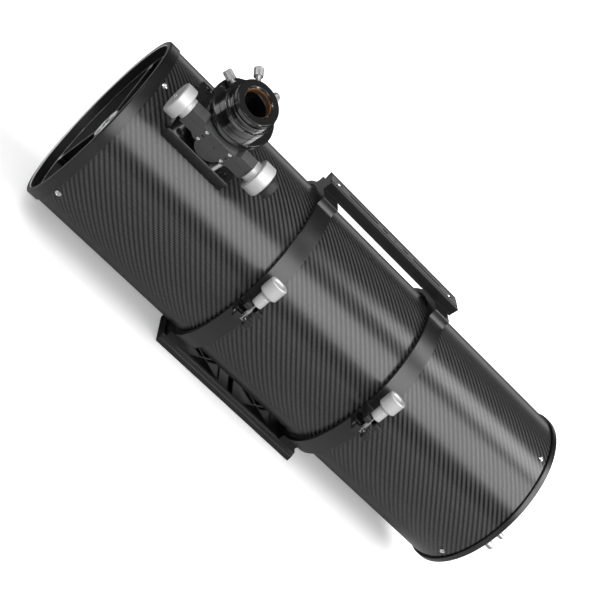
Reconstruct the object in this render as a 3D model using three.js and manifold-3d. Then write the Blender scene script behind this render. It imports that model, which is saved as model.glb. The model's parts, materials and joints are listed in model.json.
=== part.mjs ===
// Newtonian reflector optical tube assembly with hinged tube rings, a lattice dovetail plate,
// a slotted accessory bar and a two-speed drum focuser. Millimetres, +Z up, +X towards the main mirror.
// The origin is the middle of the dovetail plate's flat underside.
import * as THREE from "three";
import { mergeVertices } from "three/addons/utils/BufferGeometryUtils.js";
import Module from "manifold-3d";

const wasm = await Module();
wasm.setup();

// Driving dimensions of the tube.
const TUBE_RADIUS = 115;
const TUBE_WALL = 3;
const TUBE_START = 3.6;
const TUBE_END = 661.4;
const OVERALL_LENGTH = 670.2;
const AXIS_HEIGHT = 141;
const FRONT_PLANE_X = -346;
const SLEEVE_END = 12.2;
const FRONT_RING_RADIUS = 117;
const FRONT_RING_LENGTH = 14;
const REAR_RING_START = 662.4;
const VANE_START = 12.6;
const VANE_END = 36;
const TUBE_ROLL = THREE.MathUtils.degToRad(33.6);
const GAP = 0.3;

// Tube rings, plate and bar, in the row frame. Heights are measured from the tube axis.
const RING_MIDDLE_X = -1.5;
const RING_OFFSET = 96.2;
const RING_WIDTH = 23.5;
const RING_OUTER = 122.5;
const RING_INNER = 117.3;
const LINER_OUTER = 117;
const LINER_INNER = 115.6;
const LINER_WIDTH = 20;
const LINER_END_HEIGHT = 4;
const SPLIT_HALF_GAP = 0.5;
const FOOT_HALF_WIDTH = 32;
const FOOT_HEIGHT = 128;
const HINGE_Y = 128;
const KNUCKLE_RADIUS = 5.5;
const HINGE_PIN_RADIUS = 2.5;
const BOLT_Y = -139.5;
const BOLT_RADIUS = 3;
const CROSS_PIN_Z = -7.5;
const CROSS_PIN_RADIUS = 2.5;
const CROSS_PIN_HALF_LENGTH = 12.5;
const LUG_REACH = -149;
const LUG_TOP = 14.5;
const UPPER_LUG_BASE = 6.5;
const LOWER_LUG_TOP = -2.5;
const LOWER_LUG_BASE = -11.5;
const LUG_SLOT_HALF = 3.5;
const KNOB_NECK_RADIUS = 7;
const KNOB_HEAD_RADIUS = 11.6;
const KNOB_HEAD_BASE = 33;
const KNOB_TOP = 50;
const BAR_LENGTH = 219.7;
const BAR_HALF_WIDTH = 18;
const BAR_BASE = 128.3;
const BAR_TOP = 142.2;
const SLOT_WIDTH = 5;
const PLATE_LENGTH = 226;
const PLATE_HALF_WIDTH = 33;
const PLATE_NECK_HALF_WIDTH = 29;
const PLATE_LIP = 6.5;
const PLATE_TOP = -128.3;
const LATTICE_OFFSET = 45;
const LATTICE_REACH = 25.5;

// Focuser, in the tube's frame: x from the front plane, z outward along the focuser.
const FOCUSER_X = 91.5;
const BASE_HALF_LENGTH = 44;
const BASE_NEAR_SIDE = -45;
const BASE_FAR_SIDE = 38;
const BASE_TOP = 124.4;
const BASE_SKIRT = 107;
const TOWER_RADIUS = 35.5;
const TOWER_TOP = 168.2;
const TOWER_CUT_Y = -30.4;
const TOWER_CUT_Z = 138.7;
const DRAWTUBE_RADIUS = 32.5;
const DRAWTUBE_BORE = 29;
const DRAWTUBE_FLAT_Y = -31.8;
const DRAWTUBE_FOOT = 104;
const SHAFT_Y = -35;
const SHAFT_Z = 157;
const SHAFT_RADIUS = 3;
const COARSE_KNOB_RADIUS = 19.5;
const COARSE_HUB_RADIUS = 12.5;
const FINE_KNOB_RADIUS = 11.75;
const FLANGE_RADIUS = 40;
const FLANGE_BASE = 168.6;
const FLANGE_TOP = 176.2;
const COLLAR_RADIUS = 31.5;
const COLLAR_TOP = 190.5;
const COLLAR_BORE = 25.6;
const COLLAR_SCREW_Z = 183;
const ADAPTER_TOP = 202.5;
const EYEPIECE_BORE = 15.95;
const ADAPTER_SCREW_Z = 198;
const COLLAR_SCREW_ANGLES = [157.5, 67.5];
const ADAPTER_SCREW_ANGLE = 117;
const THUMB_SCREW_HOLE = 2.3;
const CHAMFER = 0.8;

// Mirrors, spider and mirror cell, in the tube's frame.
const PRIMARY_RADIUS = 101.6;
const PRIMARY_CURVATURE = 1600;
const PRIMARY_FRONT = 604;
const PRIMARY_BACK = 628;
const TRAY_BACK = 640;
const FRAME_FRONT = 655.7;
const FRAME_BACK = 662;
const CELL_SCREW_RADIUS = 90;
const CELL_PAIR_ANGLE = 27;
const CELL_SCREW_SPREAD = 6;
const SPIDER_SCREW_X = 18.6;
const SPIDER_SCREW_RADIUS = 2;
const HUB_RADIUS = 21;
const HUB_START = 12;
const HUB_END = 38;
const SECONDARY_RADIUS = 33;
const SECONDARY_THICKNESS = 10;
const SECONDARY_HOLDER_RADIUS = 31;
const SECONDARY_HOLDER_START = 50;
const ADJUSTER_CIRCLE = 13;
const ADJUSTER_RADIUS = 2;
const ADJUSTER_HEAD_RADIUS = 3.2;
const CENTRE_BOLT_RADIUS = 3;
const CENTRE_HEAD_RADIUS = 5.5;
const HEAD_SEAT = 5;

const ROUND = 48;
const MEDIUM = 28;
const SMALL = 12;
const FINE = 8;
const QUARTER_TURNS = [0, 90, 180, 270];
const THIRDS = [0, 120, 240];

const material = (color, roughness, metalness) =>
  new THREE.MeshStandardMaterial({ color, roughness, metalness });
const carbon = material(0x4a4b4d, 0.35, 0.1);
const blackAnodised = material(0x151516, 0.35, 0.7);
const satinBlack = material(0x232324, 0.45, 0.6);
const greyAnodised = material(0x3c3c3e, 0.5, 0.6);
const silver = material(0xd0d0d2, 0.3, 0.9);
const chrome = material(0xe2e2e4, 0.12, 1);
const steel = material(0x8f9194, 0.3, 0.9);
const brass = material(0x8a5a24, 0.4, 0.9);
const felt = material(0x0e0e0e, 0.95, 0);
const glass = material(0xb9c4cc, 0.05, 0.9);

const radians = THREE.MathUtils.degToRad;

// A closed geometry as a manifold-3d solid with its faces pointing out.
function solidOf(geometry) {
  const positions = geometry.getAttribute("position").clone();
  const bare = new THREE.BufferGeometry().setAttribute("position", positions);
  if (geometry.index) bare.setIndex(geometry.index.clone());
  const merged = mergeVertices(bare, 1e-4);
  const triangles = [];
  for (let i = 0; i < merged.index.count; i += 3) {
    const [a, b, c] = [merged.index.getX(i), merged.index.getX(i + 1), merged.index.getX(i + 2)];
    if (a !== b && b !== c && c !== a) triangles.push([a, b, c]);
  }
  const vertProperties = new Float32Array(merged.attributes.position.array);
  const build = (list) => {
    const triVerts = new Uint32Array(list.flat());
    return new wasm.Manifold(new wasm.Mesh({ numProp: 3, vertProperties, triVerts }));
  };
  const made = build(triangles);
  return made.volume() < 0 ? build(triangles.map(([a, b, c]) => [a, c, b])) : made;
}

function geometryOf(solid) {
  const mesh = solid.getMesh();
  const geometry = new THREE.BufferGeometry();
  geometry.setAttribute("position", new THREE.BufferAttribute(new Float32Array(mesh.vertProperties), 3));
  geometry.setIndex(new THREE.BufferAttribute(new Uint32Array(mesh.triVerts), 1));
  geometry.computeVertexNormals();
  return geometry;
}

const join = (...geometries) => geometryOf(geometries.map(solidOf).reduce((a, b) => a.add(b)));
const cut = (body, ...tools) =>
  geometryOf(tools.map(solidOf).reduce((a, b) => a.subtract(b), solidOf(body)));
const common = (a, b) => geometryOf(solidOf(a).intersect(solidOf(b)));

// Turned solids. A profile is a list of [height, radius] about +Z; a hollow one closes on itself.
function turned(profile, segments = SMALL) {
  const hollow = profile[0][1] > 0;
  const closed = hollow ? [...profile, profile[0]] : profile;
  const points = closed.map(([height, radius]) => new THREE.Vector2(radius, height));
  return new THREE.LatheGeometry(points, segments).rotateX(Math.PI / 2);
}
const rod = (radius, from, to, segments = FINE) =>
  turned([[from, 0], [from, radius], [to, radius], [to, 0]], segments);

// A ring of rectangular section about +Z.
const sleeve = (inner, outer, from, to, segments = SMALL) =>
  turned([[from, inner], [from, outer], [to, outer], [to, inner]], segments);

const aboutX = (geometry) => geometry.rotateY(Math.PI / 2);

function block(x0, x1, y0, y1, z0, z1) {
  const geometry = new THREE.BoxGeometry(x1 - x0, y1 - y0, z1 - z0);
  return geometry.translate((x0 + x1) / 2, (y0 + y1) / 2, (z0 + z1) / 2);
}

const outline = (points) => new THREE.Shape(points.map(([a, b]) => new THREE.Vector2(a, b)));

const extruded = (shape, depth, curveSegments) =>
  new THREE.ExtrudeGeometry(shape, { depth, bevelEnabled: false, curveSegments });

// An outline in y and z, extruded along x.
function prismAlongX(shape, from, to) {
  const [alongX, alongY, alongZ] = [[1, 0, 0], [0, 1, 0], [0, 0, 1]].map((v) => new THREE.Vector3(...v));
  const axes = new THREE.Matrix4().makeBasis(alongY, alongZ, alongX);
  return extruded(shape, to - from, SMALL).applyMatrix4(axes).translate(from, 0, 0);
}

// An outline in x and z, extruded along y.
const prismAlongY = (shape, from, to) =>
  extruded(shape, to - from, SMALL).rotateX(Math.PI / 2).translate(0, to, 0);

// An outline in x and y, extruded along z.
const prismAlongZ = (shape, from, to) => extruded(shape, to - from, FINE / 2).translate(0, 0, from);

function slotShape(x, length, width) {
  const shape = new THREE.Shape();
  const half = (length - width) / 2;
  shape.absarc(x + half, 0, width / 2, -Math.PI / 2, Math.PI / 2);
  shape.absarc(x - half, 0, width / 2, Math.PI / 2, (3 * Math.PI) / 2);
  return shape;
}

const telescope = new THREE.Group();
const cradle = new THREE.Group();
cradle.position.z = AXIS_HEIGHT;
const tube = new THREE.Group();
tube.position.set(FRONT_PLANE_X, 0, AXIS_HEIGHT);
tube.rotation.x = TUBE_ROLL;
telescope.add(cradle, tube);

function add(parent, name, geometry, finish) {
  const mesh = new THREE.Mesh(geometryOf(solidOf(geometry)), finish);
  mesh.name = name;
  parent.add(mesh);
  return mesh;
}

// ---- Tube and its end rings ----

function mainTube() {
  const shell = aboutX(sleeve(TUBE_RADIUS - TUBE_WALL, TUBE_RADIUS, TUBE_START, TUBE_END, ROUND));
  const focuserHole = rod(DRAWTUBE_RADIUS + 2, 90, 130, MEDIUM).translate(FOCUSER_X, 0, 0);
  const screwHoles = QUARTER_TURNS.map((angle) =>
    rod(SPIDER_SCREW_RADIUS + 0.4, 100, 120).translate(SPIDER_SCREW_X, 0, 0).rotateX(radians(angle)));
  return cut(shell, focuserHole, ...screwHoles);
}

function frontEndRing() {
  const [lip, sleeve, skirt] = [110, TUBE_RADIUS - TUBE_WALL - GAP, TUBE_RADIUS + GAP];
  const floor = TUBE_START - GAP;
  const chamfer = 1.4;
  const inside = [[SLEEVE_END, sleeve], [SLEEVE_END, lip], [0, lip]];
  const face = [[0, FRONT_RING_RADIUS - chamfer], [chamfer, FRONT_RING_RADIUS]];
  const outside = [[FRONT_RING_LENGTH, FRONT_RING_RADIUS], [FRONT_RING_LENGTH, skirt], [floor, skirt],
    [floor, sleeve]];
  return aboutX(turned([...inside, ...face, ...outside], ROUND));
}

function rearEndRing() {
  const [lip, bore, sleeve, rim] = [104, 108.6, TUBE_RADIUS - TUBE_WALL - GAP, 117.7];
  const sleeveStart = 646;
  const inner = [[sleeveStart, bore], [sleeveStart, sleeve], [REAR_RING_START, sleeve]];
  const outer = [[REAR_RING_START, rim - 0.7], [REAR_RING_START + 0.8, rim], [OVERALL_LENGTH - 1.2, rim]];
  const back = [[OVERALL_LENGTH, rim - 1.2], [OVERALL_LENGTH, lip], [REAR_RING_START, lip],
    [REAR_RING_START, bore]];
  return aboutX(turned([...inner, ...outer, ...back], ROUND));
}

add(tube, "main_tube", mainTube(), carbon);
add(tube, "front_end_ring", frontEndRing(), blackAnodised);
add(tube, "rear_end_ring", rearEndRing(), blackAnodised);

// ---- Spider and secondary mirror ----

// Four identical vanes, each a thin blade with a drilled foot inside the tube wall.
function spiderVane() {
  const blade = block(VANE_START, VANE_END, -0.5, 0.5, HUB_RADIUS + GAP, 106);
  const foot = block(VANE_START, 25, -4, 4, 103, 111.3);
  const hole = rod(SPIDER_SCREW_RADIUS + 0.3, 104.5, 120).translate(SPIDER_SCREW_X, 0, 0);
  return cut(join(blade, foot), hole);
}

function spiderScrew() {
  const [tip, head, edge, top] = [106, 115.4, 116.9, 118];
  const shank = [[tip, 0], [tip, SPIDER_SCREW_RADIUS], [head, SPIDER_SCREW_RADIUS]];
  return turned([...shank, [head, 4.1], [edge, 4.1], [top, 2.8], [top, 0]]);
}

QUARTER_TURNS.forEach((angle, i) => {
  add(tube, `spider_vane_${i + 1}`, spiderVane(), blackAnodised).rotation.x = radians(angle);
  const screw = add(tube, `spider_screw_${i + 1}`, spiderScrew().translate(SPIDER_SCREW_X, 0, 0), chrome);
  screw.rotation.x = radians(angle);
});

// A bolt hole along the hub with a counterbore for the bolt's head.
const headedHole = (radius, headRadius) =>
  aboutX(join(rod(radius, 0, 60, SMALL), rod(headRadius, 0, HUB_START + HEAD_SEAT, SMALL)));

// A bolt from its seat in the hub to the given end.
function hubBolt(radius, headRadius, end) {
  const [top, seat] = [HUB_START + 0.6, HUB_START + HEAD_SEAT - GAP];
  const head = [[top, 0], [top, headRadius], [seat, headRadius], [seat, radius]];
  return aboutX(turned([...head, [end, radius], [end, 0]]));
}

function spiderHub() {
  const edge = 2;
  const face = [[HUB_START, 0], [HUB_START, HUB_RADIUS - edge], [HUB_START + edge, HUB_RADIUS]];
  const drum = aboutX(turned([...face, [HUB_END, HUB_RADIUS], [HUB_END, 0]], MEDIUM));
  const adjusterHole = (angle) =>
    headedHole(ADJUSTER_RADIUS + 0.4, ADJUSTER_HEAD_RADIUS + 0.4)
      .translate(0, 0, ADJUSTER_CIRCLE)
      .rotateX(radians(angle));
  return cut(drum, headedHole(CENTRE_BOLT_RADIUS + 0.4, CENTRE_HEAD_RADIUS + 0.4),
    ...THIRDS.map(adjusterHole));
}
add(tube, "spider_hub", spiderHub(), blackAnodised);
add(tube, "secondary_centre_bolt", hubBolt(CENTRE_BOLT_RADIUS, CENTRE_HEAD_RADIUS, 60), steel);
THIRDS.forEach((angle, i) => {
  const bolt = hubBolt(ADJUSTER_RADIUS, ADJUSTER_HEAD_RADIUS, SECONDARY_HOLDER_START - GAP);
  const screw = add(tube, `secondary_adjuster_${i + 1}`, bolt.translate(0, 0, ADJUSTER_CIRCLE), steel);
  screw.rotation.x = radians(angle);
});

// Everything behind a 45 degree plane through the optical axis, set back by the given distance.
function behindDiagonal(setBack) {
  const space = block(-200, 0, -60, 60, -150, 150).rotateY(-Math.PI / 4);
  return space.translate(FOCUSER_X - setBack * Math.SQRT2, 0, 0);
}
function secondaryMirror() {
  const cylinder = aboutX(rod(SECONDARY_RADIUS, 20, 160, MEDIUM));
  return cut(common(cylinder, behindDiagonal(0)), behindDiagonal(SECONDARY_THICKNESS));
}
function secondaryHolder() {
  const drum = aboutX(rod(SECONDARY_HOLDER_RADIUS, SECONDARY_HOLDER_START, 160, MEDIUM));
  const bore = aboutX(rod(CENTRE_BOLT_RADIUS + 0.4, 40, 61, SMALL));
  return cut(common(drum, behindDiagonal(SECONDARY_THICKNESS + GAP)), bore);
}
add(tube, "secondary_mirror", secondaryMirror(), glass);
add(tube, "secondary_holder", secondaryHolder(), blackAnodised);

// ---- Primary mirror and its cell ----

function primaryMirror() {
  const steps = 6;
  const sag = (radius) => PRIMARY_CURVATURE - Math.sqrt(PRIMARY_CURVATURE ** 2 - radius ** 2);
  const edgeSag = sag(PRIMARY_RADIUS);
  const face = Array.from({ length: steps + 1 }, (_, i) => {
    const radius = (PRIMARY_RADIUS * i) / steps;
    return [PRIMARY_FRONT + edgeSag - sag(radius), radius];
  });
  return aboutX(turned([...face, [PRIMARY_BACK, PRIMARY_RADIUS], [PRIMARY_BACK, 0]], ROUND));
}

const cellScrewAngle = (third, side) => third - (90 - CELL_PAIR_ANGLE) + side * CELL_SCREW_SPREAD;
const atCellScrew = (geometry, third, side) =>
  geometry.translate(0, 0, CELL_SCREW_RADIUS).rotateX(radians(-cellScrewAngle(third, side)));

function mirrorCell() {
  const tray = aboutX(sleeve(30, 104.5, PRIMARY_BACK + GAP, TRAY_BACK, ROUND));
  const holes = THIRDS.map((third) => atCellScrew(aboutX(rod(3.2, 600, 650)), third, -1));
  return cut(tray, ...holes);
}

// A bent strip from the tray's rim to just over the mirror's face.
function mirrorClip() {
  const [tip, inner, rim, outer, width] = [96, 102.3, 104.9, 106.8, 14];
  const [under, over, foot] = [PRIMARY_FRONT - 0.4, PRIMARY_FRONT - 2.4, PRIMARY_BACK + 8];
  const lip = [[inner, under], [tip, under], [tip, over], [outer, over]];
  const leg = [[outer, foot], [rim, foot], [rim, PRIMARY_BACK], [inner, PRIMARY_BACK]];
  const bent = extruded(outline([...lip, ...leg]), width, SMALL).translate(0, 0, -width / 2);
  const [alongX, alongY, alongZ] = [[1, 0, 0], [0, 1, 0], [0, 0, 1]].map((v) => new THREE.Vector3(...v));
  return bent.applyMatrix4(new THREE.Matrix4().makeBasis(alongZ, alongX, alongY));
}

add(tube, "primary_mirror", primaryMirror(), glass);
add(tube, "mirror_cell", mirrorCell(), satinBlack);
THIRDS.forEach((angle, i) => {
  add(tube, `mirror_clip_${i + 1}`, mirrorClip(), satinBlack).rotation.x = radians(angle);
});

function cellFrame() {
  const rim = aboutX(sleeve(78, 108.2, FRAME_FRONT, FRAME_BACK, ROUND));
  const hub = aboutX(sleeve(12, 26, FRAME_FRONT, FRAME_BACK, MEDIUM));
  const arm = (angle) => block(FRAME_FRONT, FRAME_BACK, -9, 9, 20, 84).rotateX(radians(angle));
  const arms = THIRDS.map(arm);
  const hole = (third, side) => atCellScrew(aboutX(rod(2.8, 640, 680)), third, side);
  const holes = THIRDS.flatMap((third) => [hole(third, -1), hole(third, 1)]);
  return cut(join(rim, hub, ...arms), ...holes);
}
add(tube, "cell_frame", cellFrame(), blackAnodised);

function collimationKnob() {
  const [tip, seat, grip, end] = [633, FRAME_BACK + GAP, 667, 694];
  const [thread, neck, radius, edge] = [2.5, 3.6, 4.6, 3.8];
  const stem = [[tip, 0], [tip, thread], [seat, thread], [seat, neck], [grip, neck]];
  return aboutX(turned([...stem, [grip, radius], [end - 1, radius], [end, edge], [end, 0]]));
}

function lockScrew() {
  const [tip, seat, end] = [641.5, FRAME_BACK + GAP, 691];
  const [thread, radius, edge] = [2.5, 3.5, 2.8];
  const stem = [[tip, 0], [tip, thread], [seat, thread], [seat, radius]];
  return aboutX(turned([...stem, [end - 1, radius], [end, edge], [end, 0]]));
}

THIRDS.forEach((third, i) => {
  add(tube, `collimation_knob_${i + 1}`, atCellScrew(collimationKnob(), third, -1), silver);
  add(tube, `lock_screw_${i + 1}`, atCellScrew(lockScrew(), third, 1), steel);
});

// ---- Focuser ----

const onFocuser = (geometry) => geometry.translate(FOCUSER_X, 0, 0);

function focuserBase() {
  const saddle = block(-BASE_HALF_LENGTH, BASE_HALF_LENGTH, BASE_NEAR_SIDE, BASE_FAR_SIDE, BASE_SKIRT,
    BASE_TOP);
  const tower = rod(TOWER_RADIUS, BASE_TOP - 4, TOWER_TOP, MEDIUM);
  const tubeShape = aboutX(rod(TUBE_RADIUS + GAP, -60, 60, ROUND));
  const bore = rod(DRAWTUBE_RADIUS + GAP, 90, 180, MEDIUM);
  const housingSeat = block(-60, 60, -60, TOWER_CUT_Y, TOWER_CUT_Z, 180);
  return onFocuser(cut(join(saddle, tower), tubeShape, bore, housingSeat));
}

// The shaft housing: two square arms, a screwed centre plate and a half-round boss below it.
function shaftHousing() {
  const [arm, inner, plate, face] = [44.5, 26.5, 22, -44];
  const [top, plateTop, armBase, plateBase] = [171, 164.8, 143.6, 139.4];
  const [bossCentre, bossRadius] = [141.3, 16.5];
  const bossHalf = Math.sqrt(bossRadius ** 2 - (bossCentre - plateBase) ** 2);
  const angle = Math.atan2(plateBase - bossCentre, bossHalf);
  const shape = new THREE.Shape();
  shape.moveTo(-arm, armBase);
  shape.lineTo(-inner, armBase);
  shape.lineTo(-plate + 1, plateBase);
  shape.lineTo(-bossHalf, plateBase);
  shape.absarc(0, bossCentre, bossRadius, Math.PI - angle, 2 * Math.PI + angle, false);
  shape.lineTo(plate - 1, plateBase);
  shape.lineTo(inner, armBase);
  shape.lineTo(arm, armBase);
  shape.lineTo(arm, top);
  shape.lineTo(inner, top);
  shape.lineTo(plate, plateTop);
  shape.lineTo(-plate, plateTop);
  shape.lineTo(-inner, top);
  shape.lineTo(-arm, top);
  const body = prismAlongY(shape, face, TOWER_CUT_Y - GAP);
  const towerRoom = rod(TOWER_RADIUS + GAP, 100, TOWER_CUT_Z + GAP, MEDIUM);
  const drawtubeRoom = rod(DRAWTUBE_RADIUS + 0.4, 100, 200, MEDIUM);
  const shaftBore = aboutX(rod(SHAFT_RADIUS + GAP, -60, 60, SMALL)).translate(0, SHAFT_Y, SHAFT_Z);
  return onFocuser(cut(body, towerRoom, drawtubeRoom, shaftBore));
}

function drawtube() {
  const pipe = sleeve(DRAWTUBE_BORE, DRAWTUBE_RADIUS, DRAWTUBE_FOOT, FLANGE_BASE - GAP, MEDIUM);
  return onFocuser(cut(pipe, block(-30, 30, -50, DRAWTUBE_FLAT_Y, 90, 200)));
}

function drawtubeFlange() {
  const chamfered = FLANGE_RADIUS - CHAMFER;
  const below = [[FLANGE_BASE, DRAWTUBE_BORE], [FLANGE_BASE, chamfered]];
  const side = [[FLANGE_BASE + CHAMFER, FLANGE_RADIUS], [FLANGE_TOP - CHAMFER, FLANGE_RADIUS]];
  const above = [[FLANGE_TOP, chamfered], [FLANGE_TOP, DRAWTUBE_BORE]];
  return onFocuser(turned([...below, ...side, ...above], MEDIUM));
}

// From a shape along +Z to one that points away from the focuser's axis.
const radially = (geometry, angle, height) =>
  geometry.rotateY(Math.PI / 2).rotateZ(radians(angle)).translate(0, 0, height);

function eyepieceCollar() {
  const base = FLANGE_TOP + GAP;
  const wall = [[base, COLLAR_BORE], [base, COLLAR_RADIUS], [COLLAR_TOP - CHAMFER, COLLAR_RADIUS]];
  const rim = [[COLLAR_TOP, COLLAR_RADIUS - CHAMFER], [COLLAR_TOP, COLLAR_BORE]];
  const hole = (angle) => radially(rod(THUMB_SCREW_HOLE, 20, 40), angle, COLLAR_SCREW_Z);
  return onFocuser(cut(turned([...wall, ...rim], MEDIUM), ...COLLAR_SCREW_ANGLES.map(hole)));
}

// A barrel inside the collar, a shoulder on it, a waist, and a head with the compression ring's seat.
function eyepieceAdapter() {
  const [foot, seat, waistBase, waistTop, step] = [162, COLLAR_TOP + GAP, 195, 196.6, 193.4];
  const [barrel, shoulder, waist, head, ringSeat] = [COLLAR_BORE - GAP, 28, 25, 27, 17.7];
  const lower = [[foot, EYEPIECE_BORE], [foot, barrel], [seat, barrel], [seat, shoulder]];
  const middle = [[waistBase, shoulder], [waistBase, waist], [waistTop, waist], [waistTop, head]];
  const upper = [[ADAPTER_TOP - CHAMFER, head], [ADAPTER_TOP, head - CHAMFER], [ADAPTER_TOP, ringSeat]];
  const inside = [[step, ringSeat], [step, EYEPIECE_BORE]];
  const hole = radially(rod(THUMB_SCREW_HOLE, 16.5, 40), ADAPTER_SCREW_ANGLE, ADAPTER_SCREW_Z);
  return onFocuser(cut(turned([...lower, ...middle, ...upper, ...inside], MEDIUM), hole));
}

const compressionRing = () => onFocuser(sleeve(16.1, 17.3, 193.7, 200.1, MEDIUM));

function thumbScrew(tip, neck) {
  const [thread, neckRadius, radius, edge] = [2, 3.2, 5.4, 4.6];
  const [grip, end] = [neck + 4, neck + 15];
  const stem = [[tip, 0], [tip, thread], [neck, thread], [neck, neckRadius], [grip, neckRadius]];
  return turned([...stem, [grip, radius], [end - 1, radius], [end, edge], [end, 0]]);
}

const onShaft = (geometry) => aboutX(geometry).translate(0, SHAFT_Y, SHAFT_Z);

function coarseKnob(outerFace, innerFace, hubEnd, hubBore) {
  const chamfer = 1.2;
  const middle = (outerFace + innerFace) / 2;
  const shaftBore = SHAFT_RADIUS + GAP;
  const face = [[outerFace, hubBore], [outerFace, COARSE_KNOB_RADIUS - chamfer]];
  const edge = [[outerFace + Math.sign(innerFace - outerFace) * chamfer, COARSE_KNOB_RADIUS]];
  const hub = [[innerFace, COARSE_HUB_RADIUS], [hubEnd, COARSE_HUB_RADIUS]];
  const rim = [[innerFace, COARSE_KNOB_RADIUS], ...hub];
  const inside = [[hubEnd, shaftBore], [middle, shaftBore], [middle, hubBore]];
  return onShaft(turned([...face, ...edge, ...rim, ...inside], MEDIUM));
}

function fineKnob() {
  const [start, grip, end, spigot] = [151.5, 158.9, 170.6, 6.2];
  const stem = [[start, 0], [start, spigot], [grip, spigot], [grip, FINE_KNOB_RADIUS]];
  const cap = [[end - CHAMFER, FINE_KNOB_RADIUS], [end, FINE_KNOB_RADIUS - CHAMFER], [end, 0]];
  return onShaft(turned([...stem, ...cap], MEDIUM));
}

add(tube, "focuser_base", focuserBase(), blackAnodised);
add(tube, "focuser_shaft_housing", shaftHousing(), greyAnodised);
add(tube, "drawtube", drawtube(), blackAnodised);
add(tube, "drawtube_flange", drawtubeFlange(), blackAnodised);
add(tube, "eyepiece_collar", eyepieceCollar(), blackAnodised);
add(tube, "eyepiece_adapter", eyepieceAdapter(), blackAnodised);
add(tube, "compression_ring", compressionRing(), brass);
COLLAR_SCREW_ANGLES.forEach((angle, i) => {
  const screw = onFocuser(radially(thumbScrew(26, 31.9), angle, COLLAR_SCREW_Z));
  add(tube, `collar_thumbscrew_${i + 1}`, screw, silver);
});
const adapterScrew = radially(thumbScrew(17.8, 29.5), ADAPTER_SCREW_ANGLE, ADAPTER_SCREW_Z);
add(tube, "adapter_thumbscrew", onFocuser(adapterScrew), silver);
add(tube, "focus_shaft", onShaft(rod(SHAFT_RADIUS, 34.5, 150)), steel);
add(tube, "coarse_knob_front", coarseKnob(26.5, 40.3, 46.7, SHAFT_RADIUS + GAP), silver);
add(tube, "coarse_knob_rear", coarseKnob(158.6, 143, 136.3, 6.6), silver);
add(tube, "fine_focus_knob", fineKnob(), satinBlack);

// ---- Tube rings ----

const withAxis = (from, to, radius, segments) => aboutX(rod(radius, from, to, segments));
const halfWidth = RING_WIDTH / 2;
const knuckleHalf = halfWidth / 3;
const hingeRod = (radius, from, to) => withAxis(from, to, radius, SMALL).translate(0, HINGE_Y, 0);

// A block whose heights count away from the tube's axis, upwards for side +1 and downwards for -1.
const onSide = (side, x0, x1, y0, y1, near, far) =>
  side > 0 ? block(x0, x1, y0, y1, near, far) : block(x0, x1, y0, y1, -far, -near);

function ringFoot(side) {
  const [root, flare, shoulder, spread] = [100, 118, 123, 37];
  const neck = [[FOOT_HALF_WIDTH, shoulder], [FOOT_HALF_WIDTH, FOOT_HEIGHT]];
  const right = [[spread, root], [spread, flare], ...neck];
  const left = right.map(([y, z]) => [-y, z]).reverse();
  const shape = outline([...right, ...left].map(([y, z]) => [y, side * z]));
  return prismAlongX(shape, -halfWidth, halfWidth);
}

// Half a ring band with its foot, lug and hinge; side is +1 for the upper half and -1 for the lower.
function ringHalf(side) {
  const band = withAxis(-halfWidth, halfWidth, RING_OUTER, ROUND);
  const hingeWeb = onSide(side, -halfWidth, halfWidth, 115, HINGE_Y, SPLIT_HALF_GAP, KNUCKLE_RADIUS);
  const lug = side > 0 ? upperLug() : lowerLug();
  const half = onSide(side, -50, 50, -160, 160, SPLIT_HALF_GAP, 150);
  const solid = common(join(band, ringFoot(side), lug, hingeWeb), half);
  return withKnuckles(cut(solid, withAxis(-60, 60, RING_INNER, ROUND)), side);
}

// The upper half carries the middle knuckle, the lower half the outer two.
function withKnuckles(shell, side) {
  const middle = [-knuckleHalf + 0.2, knuckleHalf - 0.2];
  const outer = [[-halfWidth, -knuckleHalf - 0.2], [knuckleHalf + 0.2, halfWidth]];
  const [own, other] = side > 0 ? [[middle], outer] : [outer, [middle]];
  const relief = other.map(([from, to]) => hingeRod(KNUCKLE_RADIUS + 0.5, from - 0.4, to + 0.4));
  const knuckles = own.map(([from, to]) => hingeRod(KNUCKLE_RADIUS, from, to));
  return cut(join(cut(shell, ...relief), ...knuckles), hingeRod(HINGE_PIN_RADIUS + 0.1, -20, 20));
}

const boltSlot = () => block(-LUG_SLOT_HALF, LUG_SLOT_HALF, -160, BOLT_Y + LUG_SLOT_HALF + 0.6, -60, 60);
const LUG_ROOT_Y = -110;

// The upper lug's outer end is rounded about the cross pin, so that the knob can swing off it.
function upperLug() {
  const inner = block(-halfWidth, halfWidth, BOLT_Y, LUG_ROOT_Y, UPPER_LUG_BASE, LUG_TOP);
  const outer = block(-halfWidth, halfWidth, LUG_REACH, BOLT_Y + 1, UPPER_LUG_BASE, LUG_TOP);
  const sweep = withAxis(-halfWidth, halfWidth, LUG_TOP - CROSS_PIN_Z, ROUND);
  const rounded = common(outer, sweep.translate(0, BOLT_Y, CROSS_PIN_Z));
  return cut(join(inner, rounded), boltSlot());
}

// The lower lug carries the cross pin in an open-topped seat.
function lowerLug() {
  const room = CROSS_PIN_RADIUS + GAP;
  const lug = block(-halfWidth, halfWidth, LUG_REACH, LUG_ROOT_Y, LOWER_LUG_BASE, LOWER_LUG_TOP);
  const seat = withAxis(-20, 20, room, SMALL).translate(0, BOLT_Y, CROSS_PIN_Z);
  const mouth = block(-20, 20, BOLT_Y - room, BOLT_Y + room, CROSS_PIN_Z, 0);
  return cut(lug, boltSlot(), seat, mouth);
}

function swingBolt() {
  const crossPin = withAxis(-CROSS_PIN_HALF_LENGTH, CROSS_PIN_HALF_LENGTH, CROSS_PIN_RADIUS, SMALL);
  const stem = rod(BOLT_RADIUS, 0, KNOB_HEAD_BASE + 5 - CROSS_PIN_Z);
  return join(crossPin, stem).translate(0, BOLT_Y, CROSS_PIN_Z);
}

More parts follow.
